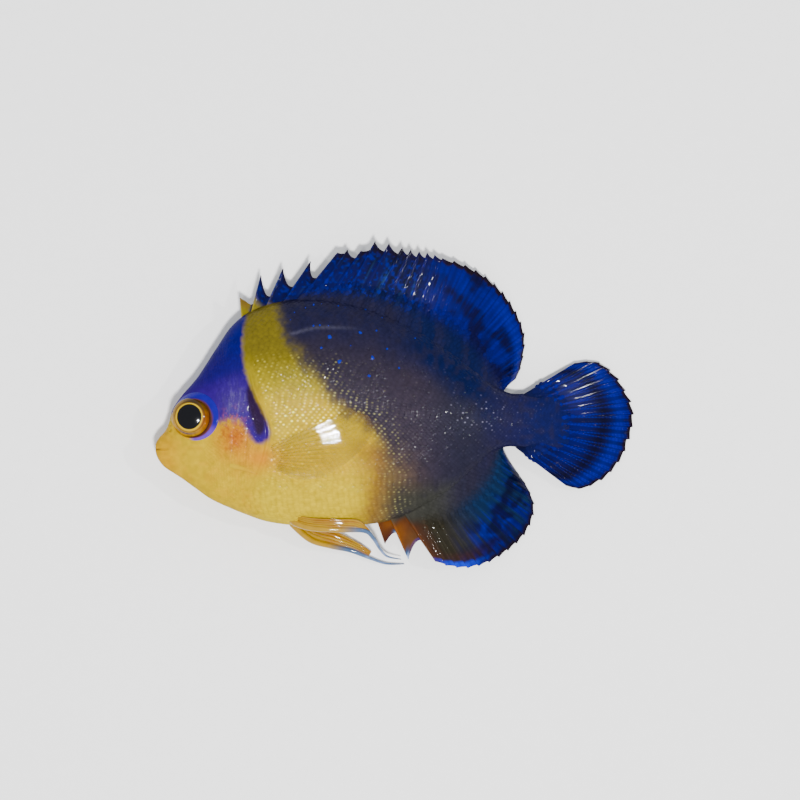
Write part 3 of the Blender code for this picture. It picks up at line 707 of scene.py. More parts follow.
def plate_shape():
    """One scale in units of the pitch: a middle, an inner ring, an outer ring and an under middle. It is
    a lens with its rear edge raised and its front edge sunk under the scale before it."""
    turn = np.arange(RIM) / RIM * 2 * math.pi
    rim = np.stack([PLATE_LONG * np.cos(turn), PLATE_WIDE * np.sin(turn)], 1)
    flat = np.concatenate([[(0.08, 0)], rim * 0.42 + (0.08, 0), rim, [(0, 0)]])
    lift = 0.05 + 0.06 * flat[:, 0]
    lift[: RIM + 1] += np.array([0.16, *[0.105] * RIM])
    lift[-1] -= 0.08
    k = np.arange(RIM)
    n = (k + 1) % RIM
    quads = np.stack([1 + k, 1 + RIM + k, 1 + RIM + n, 1 + n], 1)
    fans = np.concatenate([
        np.stack([np.zeros(RIM, int), 1 + k, 1 + n], 1),
        np.stack([np.full(RIM, 2 * RIM + 1), 1 + RIM + n, 1 + RIM + k], 1),
    ])
    return np.column_stack([flat, lift]), quads, fans


def plates(name, roots, pitch, paint, pearl, seed, tone=0.07, flatness=1.0, shine=None):
    """All scales of a part of the fish: the plate's points carried by each root's frame, painted as the
    skin is at their places, with a tone of its own, a slightly darker rim and a pearl in the middle. The
    pearl is partly the scale's own pale centre and partly a painted highlight, brightest in a line behind
    the gill cover and silver on the head and the tail stalk. A scale that is hardly shown sinks into the
    skin."""
    place, tail, across, out, size, unwrap, shown = roots
    rng = np.random.default_rng(seed)
    shape, quads, fans = plate_shape()
    count = len(place)
    size = (size * pitch)[:, None, None]
    lean = rng.normal(0, 0.065, (2, count, 1))
    lift = shape[:, 2][None, :] * flatness + 0.05 * (1 - flatness) - 0.2 * (1 - shown[:, None])
    lift = lift + lean[0] * shape[:, 0][None, :] + lean[1] * shape[:, 1][None, :]
    points = (
        place[:, None]
        + tail[:, None] * shape[None, :, 0:1] * size
        + across[:, None] * shape[None, :, 1:2] * size
        + out[:, None] * lift[..., None] * size
    )
    own = paint(points) * rng.uniform(1 - tone, 1 + tone, (count, 1, 1))
    wet = np.ones(points.shape[:2]) if shine is None else shine(points)
    points = on_table(points)
    points[..., 2] = np.maximum(points[..., 2], 0.004 * MM)
    radius = np.hypot(shape[:, 0] / PLATE_LONG, shape[:, 1] / PLATE_WIDE)[None, :, None]
    colour = own * (1.05 - 0.14 * radius**2)
    u, v = place[:, 0], place[:, 1]
    # Painted highlight: in a band along the flank the pearls are made lighter and whiter, where the lamp's
    # glints lie.
    painted_glint_band = (bump(u, 15.0, 5.0) * bump(v, 3.0, 1.3))[:, None, None]
    share = pearl[:, None, None] * np.clip(rng.uniform(-0.9, 1.3, (count, 1, 1)) + 0.9 * painted_glint_band, 0.08, 1)
    share = share * (np.arange(len(shape)) == 0)[None, :, None]
    # Silver for the painted highlights on the tail stalk and the head, yellow pearl elsewhere.
    pale = ease((u - 22) / 4) + ease((10.6 - u) / 0.5) * ease(6.5 - v)
    kind = over(ground(pale, "pearl"), pale, "silver")
    light = colour * 1.6 + kind[:, None] * (0.34 + 0.6 * painted_glint_band)
    colour = colour * (1 - share) + light * share
    many = np.arange(count)[:, None, None] * len(shape)
    patch = unwrap[:, None] + shape[None, :, :2] * 0.002
    return new_piece(
        name, points.reshape(-1, 3), (quads[None] + many).reshape(-1, 4), (fans[None] + many).reshape(-1, 3),
        colour.reshape(-1, 3), patch.reshape(-1, 2), wet,
    )


def joined(roots):
    """Several lists of roots made one."""
    return [np.concatenate(part) for part in zip(*roots)]


def body_cover(u, v):
    """How far scales stand out of the body's skin, from 0 to 1: nothing at the gill cover, at the tail
    fin and along the sharp lines of back and belly, rising over a few tenths of a millimetre."""
    share = ease((u - gill(v) - 0.5) / 0.4) * ease((38.2 - u) / 1.5)
    return share * ease((edge_line(1, u) - 0.12 - v) / 0.4) * ease((v - edge_line(-1, u) - 0.12) / 0.4)


def head_cover(u, v):
    """The same for the head: nothing round the eye, on the snout and at the gill cover's edge."""
    away = np.hypot(u - EYE[0], v - EYE[1])
    share = ease((away - 2.6) / 0.9) * ease((u + 0.25 * v - 4.0) / 1.2) * ease((gill(v) - 0.38 - u) / 0.6)
    return share * ease((edge_line(1, u) - 0.15 - v) / 0.6) * ease((v - edge_line(-1, u) - 0.3) / 0.6)


def body_pearl_and_glint(u, v):
    """How much of a pearl a scale shows: bright in the yellow band below the nape and along the edge of
    the dusk, and faint elsewhere; at the front of the tail stalk it is a bright painted highlight."""
    band = ease((9.6 - v) / 2.5) * ease((v + 4.5) / 4) * ease((19.5 - u) / 5)
    few = ease((mottle(u * 31, v * 31, 1.0, 14) - 0.55) * 3)
    share = band * (0.35 + 0.8 * few) + 0.10 * few * ease((u - 16) / 3) * ease((9.5 - v) / 3)
    share = share + 0.4 * bump(inside(DUSK, u, v), 1.0, 1.3) * ease((8 - v) / 3)
    # Painted highlights on the scales at the front of the tail stalk.
    return np.clip(share + 1.6 * few * bump(u, 30.3, 3.2) * bump(v, 3.2, 1.4), 0, 1)


def head_painted_glints(u, v):
    """Painted highlights: silver flecks on the scales of the lower mask and the cheek."""
    few = ease((mottle(u * 31, v * 31, 1.0, 15) - 0.5) * 3)
    plain = 1 - 0.85 * ease(inside(CHEEK_SPOT, u, v) / 0.5 + 0.5)
    return few * plain * bump(u, 8.6, 1.7) * bump(v, 2.4, 2.6)


def skin_paint(places):
    """The markings at the scales' own places, so that colours run on from scale to scale."""
    return markings(places[..., 0], places[..., 1])


def skin_shine(places):
    """The flank's gloss at the scales' own places."""
    return gloss(places[..., 0], places[..., 1])


BODY_PITCH = 0.54
HEAD_PITCH = 0.32
scale_finish = finish("scale", grain=0.00009, depth=0.000002, rough=(0.42, 0.58), coat=0.45, coat_rough=0.03)
for side, label in BOTH_SIDES:
    roots = scale_roots(side, BODY_PITCH, body_cover, 6.0, 22.6, 20 + side)
    pearls_and_glints = body_pearl_and_glint(roots[0][:, 0], roots[0][:, 1])
    made = plates(f"{label}_flank_scales", roots, BODY_PITCH, skin_paint, pearls_and_glints, 31, shine=skin_shine)
    dress(made, scale_finish, "flank_skin")
    roots = scale_roots(side, HEAD_PITCH, head_cover, 4.0, 13.0, 40 + side)
    pearls_and_glints = head_painted_glints(roots[0][:, 0], roots[0][:, 1])
    made = plates(f"{label}_head_scales", roots, HEAD_PITCH, skin_paint, pearls_and_glints, 32, 0.05, 0.45, skin_shine)
    dress(made, scale_finish, "head_skin")

# %% [markdown]
# ## Blue spots
# Young fish carry a few bright blue spots on the rear body, in the skin over single scales. Each is a
# thin lens on the flank, round and crisp, so that it stays a clear dot however near one looks.

# %% Spots
SPOTS = [
    (14.15, 13.25, 0.16), (14.9, 13.55, 0.18), (15.65, 13.55, 0.20), (17.2, 13.4, 0.18), (17.85, 13.25, 0.19),
    (18.5, 13.25, 0.18), (19.7, 13.05, 0.21), (16.4, 10.5, 0.30), (19.3, 10.9, 0.27), (15.65, 9.5, 0.20),
    (17.35, 8.2, 0.30), (20.45, 8.55, 0.28), (20.15, 6.85, 0.24), (12.75, 12.1, 0.13), (14.9, 11.55, 0.14),
    (15.5, 11.6, 0.12), (16.3, 11.55, 0.12), (20.8, 11.1, 0.14), (23.1, 12.0, 0.15), (13.1, 12.8, 0.13),
    (21.8, 9.4, 0.13), (22.9, 7.6, 0.12), (18.4, 9.7, 0.11), (24.4, 10.4, 0.12), (21.3, 12.35, 0.13),
]


def spot_points():
    """Lenses on both flanks: rings round each spot's place, raised in the middle by a tenth of a width."""
    spots = np.array(SPOTS) * (1, 1, 0.86)
    turn = np.arange(16) / 16 * 2 * math.pi
    rings = np.array([0.0001, 0.45, 0.8, 1.0])
    u = spots[:, 0, None, None] + spots[:, 2, None, None] * rings[None, :, None] * np.cos(turn)
    v = spots[:, 1, None, None] + spots[:, 2, None, None] * rings[None, :, None] * np.sin(turn)
    high = 0.13 - 0.09 * rings[None, :, None] ** 2 + 0 * u
    w = flank(u, v)
    top = np.stack([u, v, w + high], -1)
    low = np.stack([u, v, w - 0.12], -1)[:, ::-1]
    return np.concatenate([top, low], 1)


left_spots = spot_points()
right_spots = left_spots * (1, 1, -1)
right_spots[..., 2] = np.maximum(right_spots[..., 2], -FLAT)
rings = on_table(np.concatenate([left_spots, right_spots[..., ::-1, :]]))
count, deep, wide = rings.shape[:3]
starts = np.arange(count)[:, None, None] * deep * wide
quads = grid_quads(deep, wide, round_columns=True)[None] + starts
fan = np.stack([np.zeros(wide - 2, int), np.arange(2, wide), np.arange(1, wide - 1)], 1)
fans = np.concatenate([fan[None] + starts, fan[None, :, ::-1] + (deep - 1) * wide + starts])
tint = ground(rings[..., 0].ravel(), "spot")
blue_spots = new_piece("blue_spots", rings.reshape(-1, 3), quads.reshape(-1, 4), fans.reshape(-1, 3), tint)
dress(blue_spots, finish("blue_spot", rough=(0.35, 0.45), coat=0.15, variation=0.1), "flank_skin")

# %% [markdown]
# ## The eyes
# The eye is a flattened ball in a soft rim. A thin gold ring surrounds its black pupil, and the iris
# shades from dark brown above to orange behind and yellow below. The ball is a surface of two angles,
# and the paint is chosen by the distance and direction from the pupil.


# %% Eyeballs
EYE_RADIUS = 1.88
EYE_LEVEL = 1.68
EYE_LEAN = math.radians(12)


def eye_rings(side):
    """A flat ellipsoid, 1 mm deep, leant towards the snout about the v axis. The pupil's middle lies a
    little above the middle of the ball."""
    polar = np.linspace(0.004, math.pi - 0.004, 120)[:, None]
    turn = np.arange(128)[None, :] / 128 * 2 * math.pi
    x, y = EYE_RADIUS * np.sin(polar) * np.cos(turn), EYE_RADIUS * np.sin(polar) * np.sin(turn)
    z = np.cos(polar)
    u = EYE[0] + x * math.cos(EYE_LEAN) - z * math.sin(EYE_LEAN)
    w = EYE_LEVEL + z * math.cos(EYE_LEAN) + x * math.sin(EYE_LEAN)
    return np.stack([u, EYE[1] + y, side * w], -1), iris(x, y - 0.10)


def iris(x, y):
    """The eye's colours by distance and direction from the pupil's middle."""
    r = np.hypot(x, y)
    way = np.degrees(np.arctan2(y, x))
    fibre = mottle(9 * x / r, 9 * y / r + 3 * r, 1.0, 51)
    return layered(
        ground(r, "iris yellow"),
        (bump(way, -8, 48), "iris orange", 0.85),
        (bump(way, 75, 72) * ease((r - 1.22) / 0.12), "iris brown", 0.95),
        (bump((way + 360) % 360, 165, 22) * ease((r - 1.3) / 0.1), "iris brown", 0.3),
        (bump(way, -105, 36) * bump(r, 1.60, 0.075), "crescent"),
        (bump(r, 1.44, 0.05), "iris brown", 0.7),
        (fibre * ease((r - 1.4) / 0.1), "iris brown", 0.35),
        (ease((r - 1.16) / 0.03) * ease((1.315 - r) / 0.04), "gold ring"),
        (ease((1.195 - r) / 0.03), "pupil"),
        (ease((r - 1.86) / 0.12), "iris brown", 0.8),
    )


eye_finish = finish("eye", grain=0.0002, depth=0.000002, rough=(0.2, 0.3), coat=0.4, coat_rough=0.10)
for side, label in BOTH_SIDES:
    places, colour = eye_rings(side)
    ball = new_piece(f"{label}_eye", *closed_rings(on_table(places), colour))
    dress(ball, eye_finish, "eyes", f"eye_{label}")


# %% Rims of the eyes
def rim_rings(side):
    """A soft ring round the eye: its inner edge a circle on the eye, its outer edge a larger circle
    shifted up and back, and between them a half-round swell that sinks into the skin."""
    turn = np.arange(160)[:, None] / 160 * 2 * math.pi
    inner = 1.74
    outer = np.maximum(2.24 + 0.42 * np.cos(turn - math.radians(20)) - 0.13 * bump(turn, 2.2, 0.6), 1.90)
    across = np.arange(20)[None, :] / 20 * 2 * math.pi
    r = (inner + outer) / 2 + (outer - inner) / 2 * np.cos(across)
    u, v = EYE[0] + r * np.cos(turn), EYE[1] + r * np.sin(turn)
    seat = np.maximum(flank(EYE[0] + outer * np.cos(turn), EYE[1] + outer * np.sin(turn)) - 0.02, 0)
    lean = EYE_LEVEL + 0.30 + 0.40 * r * np.cos(turn)
    w = seat * (0.5 + 0.5 * np.cos(across)) + lean * (0.5 - 0.5 * np.cos(across)) + 0.15 * np.sin(across)
    skin_here = flank(u, v) + relief(u, v)
    w = np.where(np.sin(across) > 0.1, np.maximum(w, skin_here + 0.09 * np.sin(across) - 0.02), w)
    way = np.degrees(turn)
    near = np.hypot(u - EYE[0] - 0.22, v - EYE[1] + 0.06)
    off_top = np.abs(way - 360 * (way > 180))
    colour = layered(
        ground(w, "snout"),
        (ease((178 - way) / 18), "ring"),
        (ease((way - 262) / 20), "pale ring", 0.92),
        (ease((way - 325) / 25), "ring"),
        (bump(np.cos(across), -1, 0.5) * ease((185 - way) / 20), "indigo", 0.6),
        (ease((1.90 - near) / 0.12) * ease((120 - off_top) / 30), "iris rim", 0.95),
    )
    return np.stack([u, v, side * w], -1), colour


for side, label in BOTH_SIDES:
    places, colour = rim_rings(side)
    count, sides = places.shape[:2]
    quads = grid_quads(count, sides, round_rows=True, round_columns=True)
    points = on_table(places).reshape(-1, 3)
    rim = new_piece(f"{label}_eye_rim", points, quads, np.zeros((0, 3), int), colour.reshape(-1, 3),
                    wet=np.full(len(points), 0.2))
    dress(rim, wet_skin, "head_skin")


# %% [markdown]
# ## Lips and cheek spines
# The lips are two soft rods bent round the front of the jaws. The cheek ends in a strong pale spine,
# which all angelfish have. Both are round profiles carried along a path, thinner towards the ends.


# %% Rods
def rod(path, radii, sides=20, upright=(0.0, 0.0, 1.0)):
    """Rings round a path: at each point a circle in the plane across the path, scaled by its radius. The
    upright direction, along which the path never runs, sets where each ring starts."""
    path = np.asarray(path, float)
    ahead = unit(np.gradient(path, axis=0))
    level = unit(np.cross(upright, ahead))
    above = np.cross(ahead, level)
    turn = np.arange(sides) / sides * 2 * math.pi
    radii = np.asarray(radii, float)[:, None, None]
    return path[:, None] + radii * (
        level[:, None] * np.cos(turn)[None, :, None] + above[:, None] * np.sin(turn)[None, :, None]
    )


def lip_path(v, front):
    """Half an ellipse round the jaw from one corner of the mouth to the other."""
    turn = np.radians(np.linspace(-100, 100, 60))
    u = front + 0.95 * (1 - np.cos(turn))
    w = 0.62 * np.sin(turn) * (1 + 0.25 * (u - front))
    return np.stack([u, v - 0.12 * (u - front), w], 1), 0.29 * (0.7 + 0.3 * np.cos(turn * 0.9))


def rod_piece(name, rings, colour, wet=1.0):
    """A rod made a piece, equally wet all over."""
    points, quads, fans, tint = closed_rings(on_table(rings), colour)
    return new_piece(name, points, quads, fans, tint, wet=np.full(len(points), wet))


for name, v, front in (("upper_lip", 0.36, 0.27), ("lower_lip", -0.40, 0.33)):
    path, radii = lip_path(v, front)
    rings = rod(path, radii, upright=(0.0, 1.0, 0.0))
    blush = mottle(rings[..., 2], rings[..., 0], 0.2, 5)
    colour = over(ground(rings[..., 0], "snout"), blush, "deep gold", 0.5)
    dress(rod_piece(name, rings, colour, 0.25), wet_skin, "head_skin")

for side, label in BOTH_SIDES:
    share = np.linspace(0, 1, 40)
    path = along([(7.2, -1.45), (8.3, -1.75), (9.0, -2.0), (9.7, -2.35)], share)
    rise = np.interp(share, [0, 0.4, 0.8, 1], [-0.25, -0.04, 0.10, 0.16])
    w = flank(path[:, 0], path[:, 1]) + rise
    w = w if side > 0 else np.minimum(w, LIE - 0.32)
    radii = np.interp(share, [0, 0.3, 0.75, 1], [0.34, 0.30, 0.2, 0.04])
    rings = rod(np.column_stack([path, side * w]), radii)
    colour = over(ground(rings[..., 0], "throat"), share[:, None], "soft orange", 0.5)
    dress(rod_piece(f"{label}_cheek_spine", rings, colour, 0.15), wet_skin, "head_skin")

# %% [markdown]
# ## How a fin is built
# A fin is a membrane stretched over rays. Its middle surface is a grid: across it the place counts
# the rays, down it the share runs from the root to the tip. The front rays are stiff spines. The soft
# rays behind them split into two and again into four, and are jointed like bamboo. A ray is a ridge
# in the sheet's thickness, and the membrane is cut back behind each ray tip.

# %% Places, notches and ridges
GAP_SHARES = np.array([0, 0.04, 0.09, 0.15, 0.22, 0.31, 0.42, 0.54, 0.66, 0.76, 0.84, 0.90, 0.95])


def fin_columns(rays, notches, shares=GAP_SHARES):
    """Ray numbers of the columns and how far the margin is cut back at each: deep just before the next
    ray, as depth times one less a power of the share still to go, and back to nothing at the ray."""
    place = (np.arange(rays - 1)[:, None] + shares[None, :]).ravel()
    share = np.tile(shares, rays - 1)
    depth = np.repeat(np.asarray(notches, float)[: rays - 1], len(shares))
    notch = depth * (1 - (1 - share) ** 1.9) * ease((1 - share) / 0.045) * ease(share / 0.08)
    return np.append(place, rays - 1.0), np.append(notch, 0.0)


def soft_ridge(place, share, length):
    """Height from 0 to 1 of branching, jointed rays: bells round the ray's line, which parts twice."""
    off = place - np.round(place)
    first = 0.19 * ease((share - 0.28) / 0.5)
    second = 0.085 * ease((share - 0.6) / 0.4)
    width = 0.15 - 0.075 * share
    high = np.zeros(np.broadcast(place, share).shape)
    for a in (-1, 1):
        for b in (-1, 1):
            high = np.maximum(high, bump(off, a * first + b * second, width))
    joints = 0.5 + 0.5 * np.cos(2 * math.pi * share * length / 0.34)
    return high * (1 - 0.45 * joints * ease((share - 0.2) / 0.2))


def spine_ridge(place, share, gap):
    """Height from 0 to 1 of plain spines: half a circle across the ray, narrower towards its tip."""
    off = (place - np.round(place)) * gap
    width = 0.30 - 0.22 * share
    return np.sqrt(np.clip(1 - (off / width) ** 2, 0, 1))


def fin_surface(roots, tips, notch, drop, rows, power=1.8):
    """The fin's middle surface: straight from each root to its tip, hanging by a power of the share."""
    tips = tips + (roots - tips) * notch[:, None]
    share = np.linspace(0, 1, rows)[:, None]
    flat = roots[None] * (1 - share[..., None]) + tips[None] * share[..., None]
    w = -drop[None] * share**power
    return np.concatenate([flat, w[..., None]], -1), share


def laid(name, places, half, colour, wet=None):
    """A closed sheet on the table: the middle kept high enough for its lower face to clear the floor."""
    middle = on_table(places)
    middle[..., 2] = np.maximum(middle[..., 2], (half + 0.02) * MM)
    both = None if wet is None else np.tile(wet.ravel(), 2)
    return new_piece(name, *closed_sheet(middle, half * MM, colour), wet=both)


def from_flank(colour, side, places, share):
    """The fin's colours run into the flank's: near the root, the colour of the body just beside it."""
    u = places[..., 0]
    body = markings(u, edge_line(side, u) - side * 0.7)
    own = ease((share - 0.14) / 0.24)[..., None]
    return body * (1 - own) + colour * own


def thick_root(place, rays):
    """Share of the full root thickness at each column: half an ellipse from the first ray to the last."""
    return np.sqrt(np.clip(1 - (2 * place[None] / (rays - 1) - 1) ** 2, 0, 1)) ** 0.6


def gap_at(roots, tips, place, share):
    """Width of the gap between rays, in millimetres, at each column and share."""
    spread = np.linalg.norm(np.gradient(tips, place, axis=0), axis=1)
    close = np.linalg.norm(np.gradient(roots, place, axis=0), axis=1)
    return close[None] * (1 - share) + spread[None] * share


# %% A spiny fin
MEMBRANE = 0.055
RAY = 0.16
ROOT_DEPTH = 0.9
FIN_ROWS = 72
fin_finish = finish("fin", grain=0.00010, depth=0.000008, rough=(0.32, 0.5), coat=0.11, coat_rough=0.05)


def spiny_fin(name, slot, side, spines, margin, notches, knots, fall, taper, flesh, grain, paint, wet):
    """A fin of spines and then soft rays: its roots lie inside the back or the belly, its tips are the
    spines' and then equal steps of the margin, and it falls to the table behind the spines. Its
    thickness is the membrane plus ridges, a fleshy base and a little noise. Gives back its grid."""
    rays = len(notches) + 1
    place, notch = fin_columns(rays, notches)
    root_u = np.interp(place, *knots)
    roots = np.stack([root_u, edge_line(side, root_u) - side * ROOT_DEPTH], 1)
    ends = np.concatenate([spines, along(margin, np.linspace(0, 1, rays - len(spines)))])
    tips = np.stack([np.interp(place, np.arange(rays), c) for c in ends.T], 1)
    first, start, over_rays = fall
    hang = LIE - sag(tips[:, 0]) - 0.3
    drop = first + (hang - first) * ease((place - start) / over_rays)
    places, share = fin_surface(roots, tips, notch, drop, FIN_ROWS)
    length = np.linalg.norm(tips - roots, axis=1)[None]
    stiff = ease((len(spines) - 0.55 - place) / 0.1)[None]
    spine = spine_ridge(place[None], share, gap_at(roots, tips, place, share)) * (1 - taper * share)
    soft = 0.62 * soft_ridge(place[None], share, length) * ease((share - 0.12) / 0.3)
    ridge = stiff * spine + (1 - stiff) * soft
    base = flesh * np.clip(1 - share / 0.46, 0, 1) ** 1.7 * thick_root(place, rays)
    rough = grain[0] * mottle(places[..., 0], places[..., 1], *grain[1:])
    half = MEMBRANE + RAY * ridge * (1 - 0.5 * share) + base + rough
    colour = paint(place[None] + 0 * share, share + 0 * place[None], places[..., 0], places[..., 1])
    colour = from_flank(colour * (0.72 + 0.62 * ridge[..., None]), side, places, share)
    film = 1 + wet[0] * bump(place[None], *wet[1:3]) * bump(share, 0.5, wet[3])
    dress(laid(name, places, half, colour, film), fin_finish, slot, slot)
    return places, half, colour


# %% [markdown]
# ## The dorsal fin
# Fourteen spines and sixteen soft rays. The fin grows from the scaled back as a thick fleshy base and
# thins outwards. In front it is dark, with light streaks along the spines, and the soft rear part is
# deep blue with cloudy dark patches, a brighter band before the margin and a thin black edge.

# %% Dorsal fin
SPINE_TIPS = [
    (7.91, 14.2), (9.88, 16.36), (11.95, 16.98), (14.57, 17.68), (17.1, 18.5), (18.05, 18.75), (19.3, 18.65),
    (20.64, 19.56), (21.96, 19.37), (23.2, 19.0), (24.0, 18.8), (24.8, 18.65), (25.55, 18.5), (26.25, 18.3),
]
SOFT_DORSAL_MARGIN = [
    (27.0, 18.0), (28.9, 17.5), (31.1, 16.35), (32.95, 14.65), (34.1, 12.9), (34.85, 10.9), (34.75, 8.9),
    (34.2, 6.9), (33.2, 5.95),
]
DORSAL_NOTCHES = [0.6, 0.58, 0.5, 0.45, 0.06, 0.13, 0.12, 0.12, 0.1, 0.08, 0.08, 0.07, 0.05, *[0.025] * 16]


def dorsal_colour(place, share, u, v):
    """The dorsal fin's paints by ray number, share of the ray and place."""
    streak = mottle(place * 2.3, share * 1.2, 0.5, 61)
    cloud = mottle(u, v, 1.7, 62) * 0.6 + mottle(u, v, 0.7, 63) * 0.4
    soft = ease((place - 11.5) / 3.5)
    return layered(
        ground(u, "navy"),
        (ease((share - 0.25) / 0.35) * (1 - soft), "night", 0.7),
        (ease(streak * 2.6 - 0.7) * (1 - soft) * ease((share - 0.2) / 0.3), "deep blue", 1.0),
        (ease(mottle(u, v, 0.22, 66) * 4 - 2.3) * (1 - soft)
         * ease((share - 0.1) / 0.2), "bright blue", 0.8),
        (ease(mottle(place * 4.1, share, 0.4, 64) * 3 - 1.9) * (1 - soft)
         * bump(share, 0.62, 0.2), "steel", 0.30),
        (bump(place, 4.5, 2.5) * bump(share, 0.5, 0.35), "tail blue", 0.5),
        (ease((share - 0.86) / 0.12) * (1 - soft), "margin", 0.7),
        (ease((share - 0.12) / 0.3) * soft, "tail blue", 0.95),
        (ease((cloud - 0.37) * 3.6) * soft * ease((share - 0.1) / 0.3), "night", 0.86),
        (bump(share, 0.86, 0.09) * ease((place - 18) / 4), "bright blue", 0.9),
        (ease(streak * 2.4 - 1.0) * bump(share, 0.72, 0.22) * soft, "bright blue", 0.5),
        (ease((share - 0.955 + 0.03 * streak) / 0.03) * soft, "margin"),
        (ease((1.0 - place) / 0.5), "light olive", 0.95),
        (ease((2.2 - place) / 0.9) * ease((0.66 - share) / 0.3), "light olive", 0.9),
        (ease((0.8 - place) / 0.4) * ease((share - 0.55) / 0.3), "brown", 0.6),
    )


dorsal_grid = spiny_fin(
    "dorsal_sail", "dorsal_fin", 1, SPINE_TIPS, SOFT_DORSAL_MARGIN, DORSAL_NOTCHES,
    knots=((0, 1, 2, 3, 8, 13, 29), (8.15, 8.75, 10.02, 11.43, 18.67, 24.2, 32.3)),
    fall=(0.35, 12, 11), taper=0.55, flesh=1.05, grain=(0.02, 0.3, 65), paint=dorsal_colour,
    wet=(2.4, 12, 5, 0.35),
)

# %% [markdown]
# ## The anal fin
# Three spines and seventeen soft rays, built as the dorsal fin is. It shades from dark olive and rust
# at the front through teal to bright blue streaks at the rear, with an azure lower edge.

# %% Anal fin
ANAL_SPINE_TIPS = [(21.55, -8.9), (23.75, -10.4), (26.3, -10.6)]
SOFT_ANAL_MARGIN = [
    (27.3, -11.0), (29.2, -11.3), (31.3, -10.85), (33.2, -9.75), (34.9, -8.15), (35.8, -5.9), (35.3, -4.0),
    (34.1, -2.2), (33.1, -0.75),
]
ANAL_NOTCHES = [0.55, 0.4, *[0.022] * 17]


def anal_colour(place, share, u, v):
    """The anal fin's paints by ray number, share of the ray and place."""
    streak = mottle(place * 2.6, share * 1.6, 0.5, 71)
    colour = ground(u, "dark olive")
    rear = ease((place - 4.5) / 6.0)
    colour = layered(
        colour,
        (ease((4.0 - place) / 3) * ease((share - 0.15) / 0.25), "rust", 0.65),
        (bump(place, 0.9, 0.9) * bump(share, 0.5, 0.28), "fin orange", 0.6),
        (bump(place, 1.5, 0.6) * ease((share - 0.5) / 0.4), "brown", 0.6),
        (rear * ease((share - 0.05) / 0.3), "teal", 0.95),
        (rear * ease((share - 0.42) / 0.25) * ease(streak * 2.2 - 0.5), "tail blue", 0.95),
        (rear * bump(share, 0.72, 0.18) * ease(streak * 3 - 1.55), "bright blue", 0.9),
    )
    cloud = mottle(u, v, 1.3, 73) * 0.6 + mottle(u, v, 0.5, 74) * 0.4
    return layered(
        colour,
        (rear * ease((cloud - 0.42) * 4) * ease((share - 0.3) / 0.3), "night", 0.85),
        (bump(place, 6.0, 2.5) * bump(share, 0.86, 0.06), "rust", 0.35),
        (rear * ease((place - 7) / 3) * ease((share - 0.90) / 0.06), "deep blue", 0.6),
        (bump(place, 8.5, 3.6) * ease((share - 0.62 - 0.2 * cloud) / 0.15), "night", 0.85),
        (bump(place, 9.5, 3.5) * bump(share, 0.9, 0.05) * ease(streak * 4 - 1.6), "tail blue", 0.8),
        (bump(place, 4.4, 2.1) * ease((share - 0.90) / 0.05), "azure", 0.95),
        (ease((place - 5) / 3) * ease((share - 0.95) / 0.03), "margin", 0.95),
        (bump(place, 1.0, 0.2) * ease((share - 0.80) / 0.1), "steel"),
        (bump(place, 1.0, 0.12) * ease((share - 0.9) / 0.05), "ice", 0.8),
    )


anal_grid = spiny_fin(
    "anal_sail", "anal_fin", -1, ANAL_SPINE_TIPS, SOFT_ANAL_MARGIN, ANAL_NOTCHES,
    knots=((0, 3, 19), (20.6, 24.3, 32.3)), fall=(0.3, 2, 9), taper=0.45, flesh=0.95,
    grain=(0.03, 0.28, 72), paint=anal_colour, wet=(1.6, 5, 3, 0.4),
)

# %% [markdown]
# ## The tail fin
# Seventeen rays fan out from the stalk, all soft and much branched. The rays are vivid blue between
# dark membranes, a dark band crosses them, a bright one follows, and the edge is thin and dark.

# %% Tail fin
TAIL_RAYS = 17
TAIL_ROOT = ((33.9, 0.1), (35.4, 2.6), (34.7, 5.2))
TAIL_MARGIN = [
    (38.7, -3.5), (40.2, -3.8), (42.3, -2.9), (43.95, -1.08), (44.9, 1.13), (45.2, 3.6), (44.5, 5.4),
    (43.4, 7.06), (41.65, 8.25), (39.6, 8.15),
]


def tail_colour(place, share, u, v, ridge):
    """The tail's paints by ray number and share of the ray; the ridge tells ray from membrane."""
    streak = mottle(place * 3.1, share * 2.2, 0.5, 81)
    cloud = mottle(u, v, 1.4, 82)
    return layered(
        ground(u, "stalk"),
        (ease((share + 0.02) / 0.12), "tail root", 0.95),
        (ease((share - 0.2) / 0.2), "deep blue", 0.8),
        (ease((share - 0.08) / 0.25) * ease(streak * 1.8 - 0.3), "tail blue", 0.85),
        (ease((ridge - 0.35) * 2) * ease((share - 0.25) / 0.2), "tail blue", 0.7),
        (bump(share, 0.72, 0.085) * ease(0.45 + cloud), "night", 0.92),
        (ease((cloud - 0.45) * 3) * ease((3 - place) / 4 + 0.5), "night", 0.7),
        (bump(share, 0.875, 0.06), "bright blue", 0.6),
        (bump(place, 8, 7) * ease((ridge - 0.3) * 2) * bump(share, 0.55, 0.2), "bright blue", 0.35),
        (ease((share - 0.955) / 0.025), "margin"),
    )


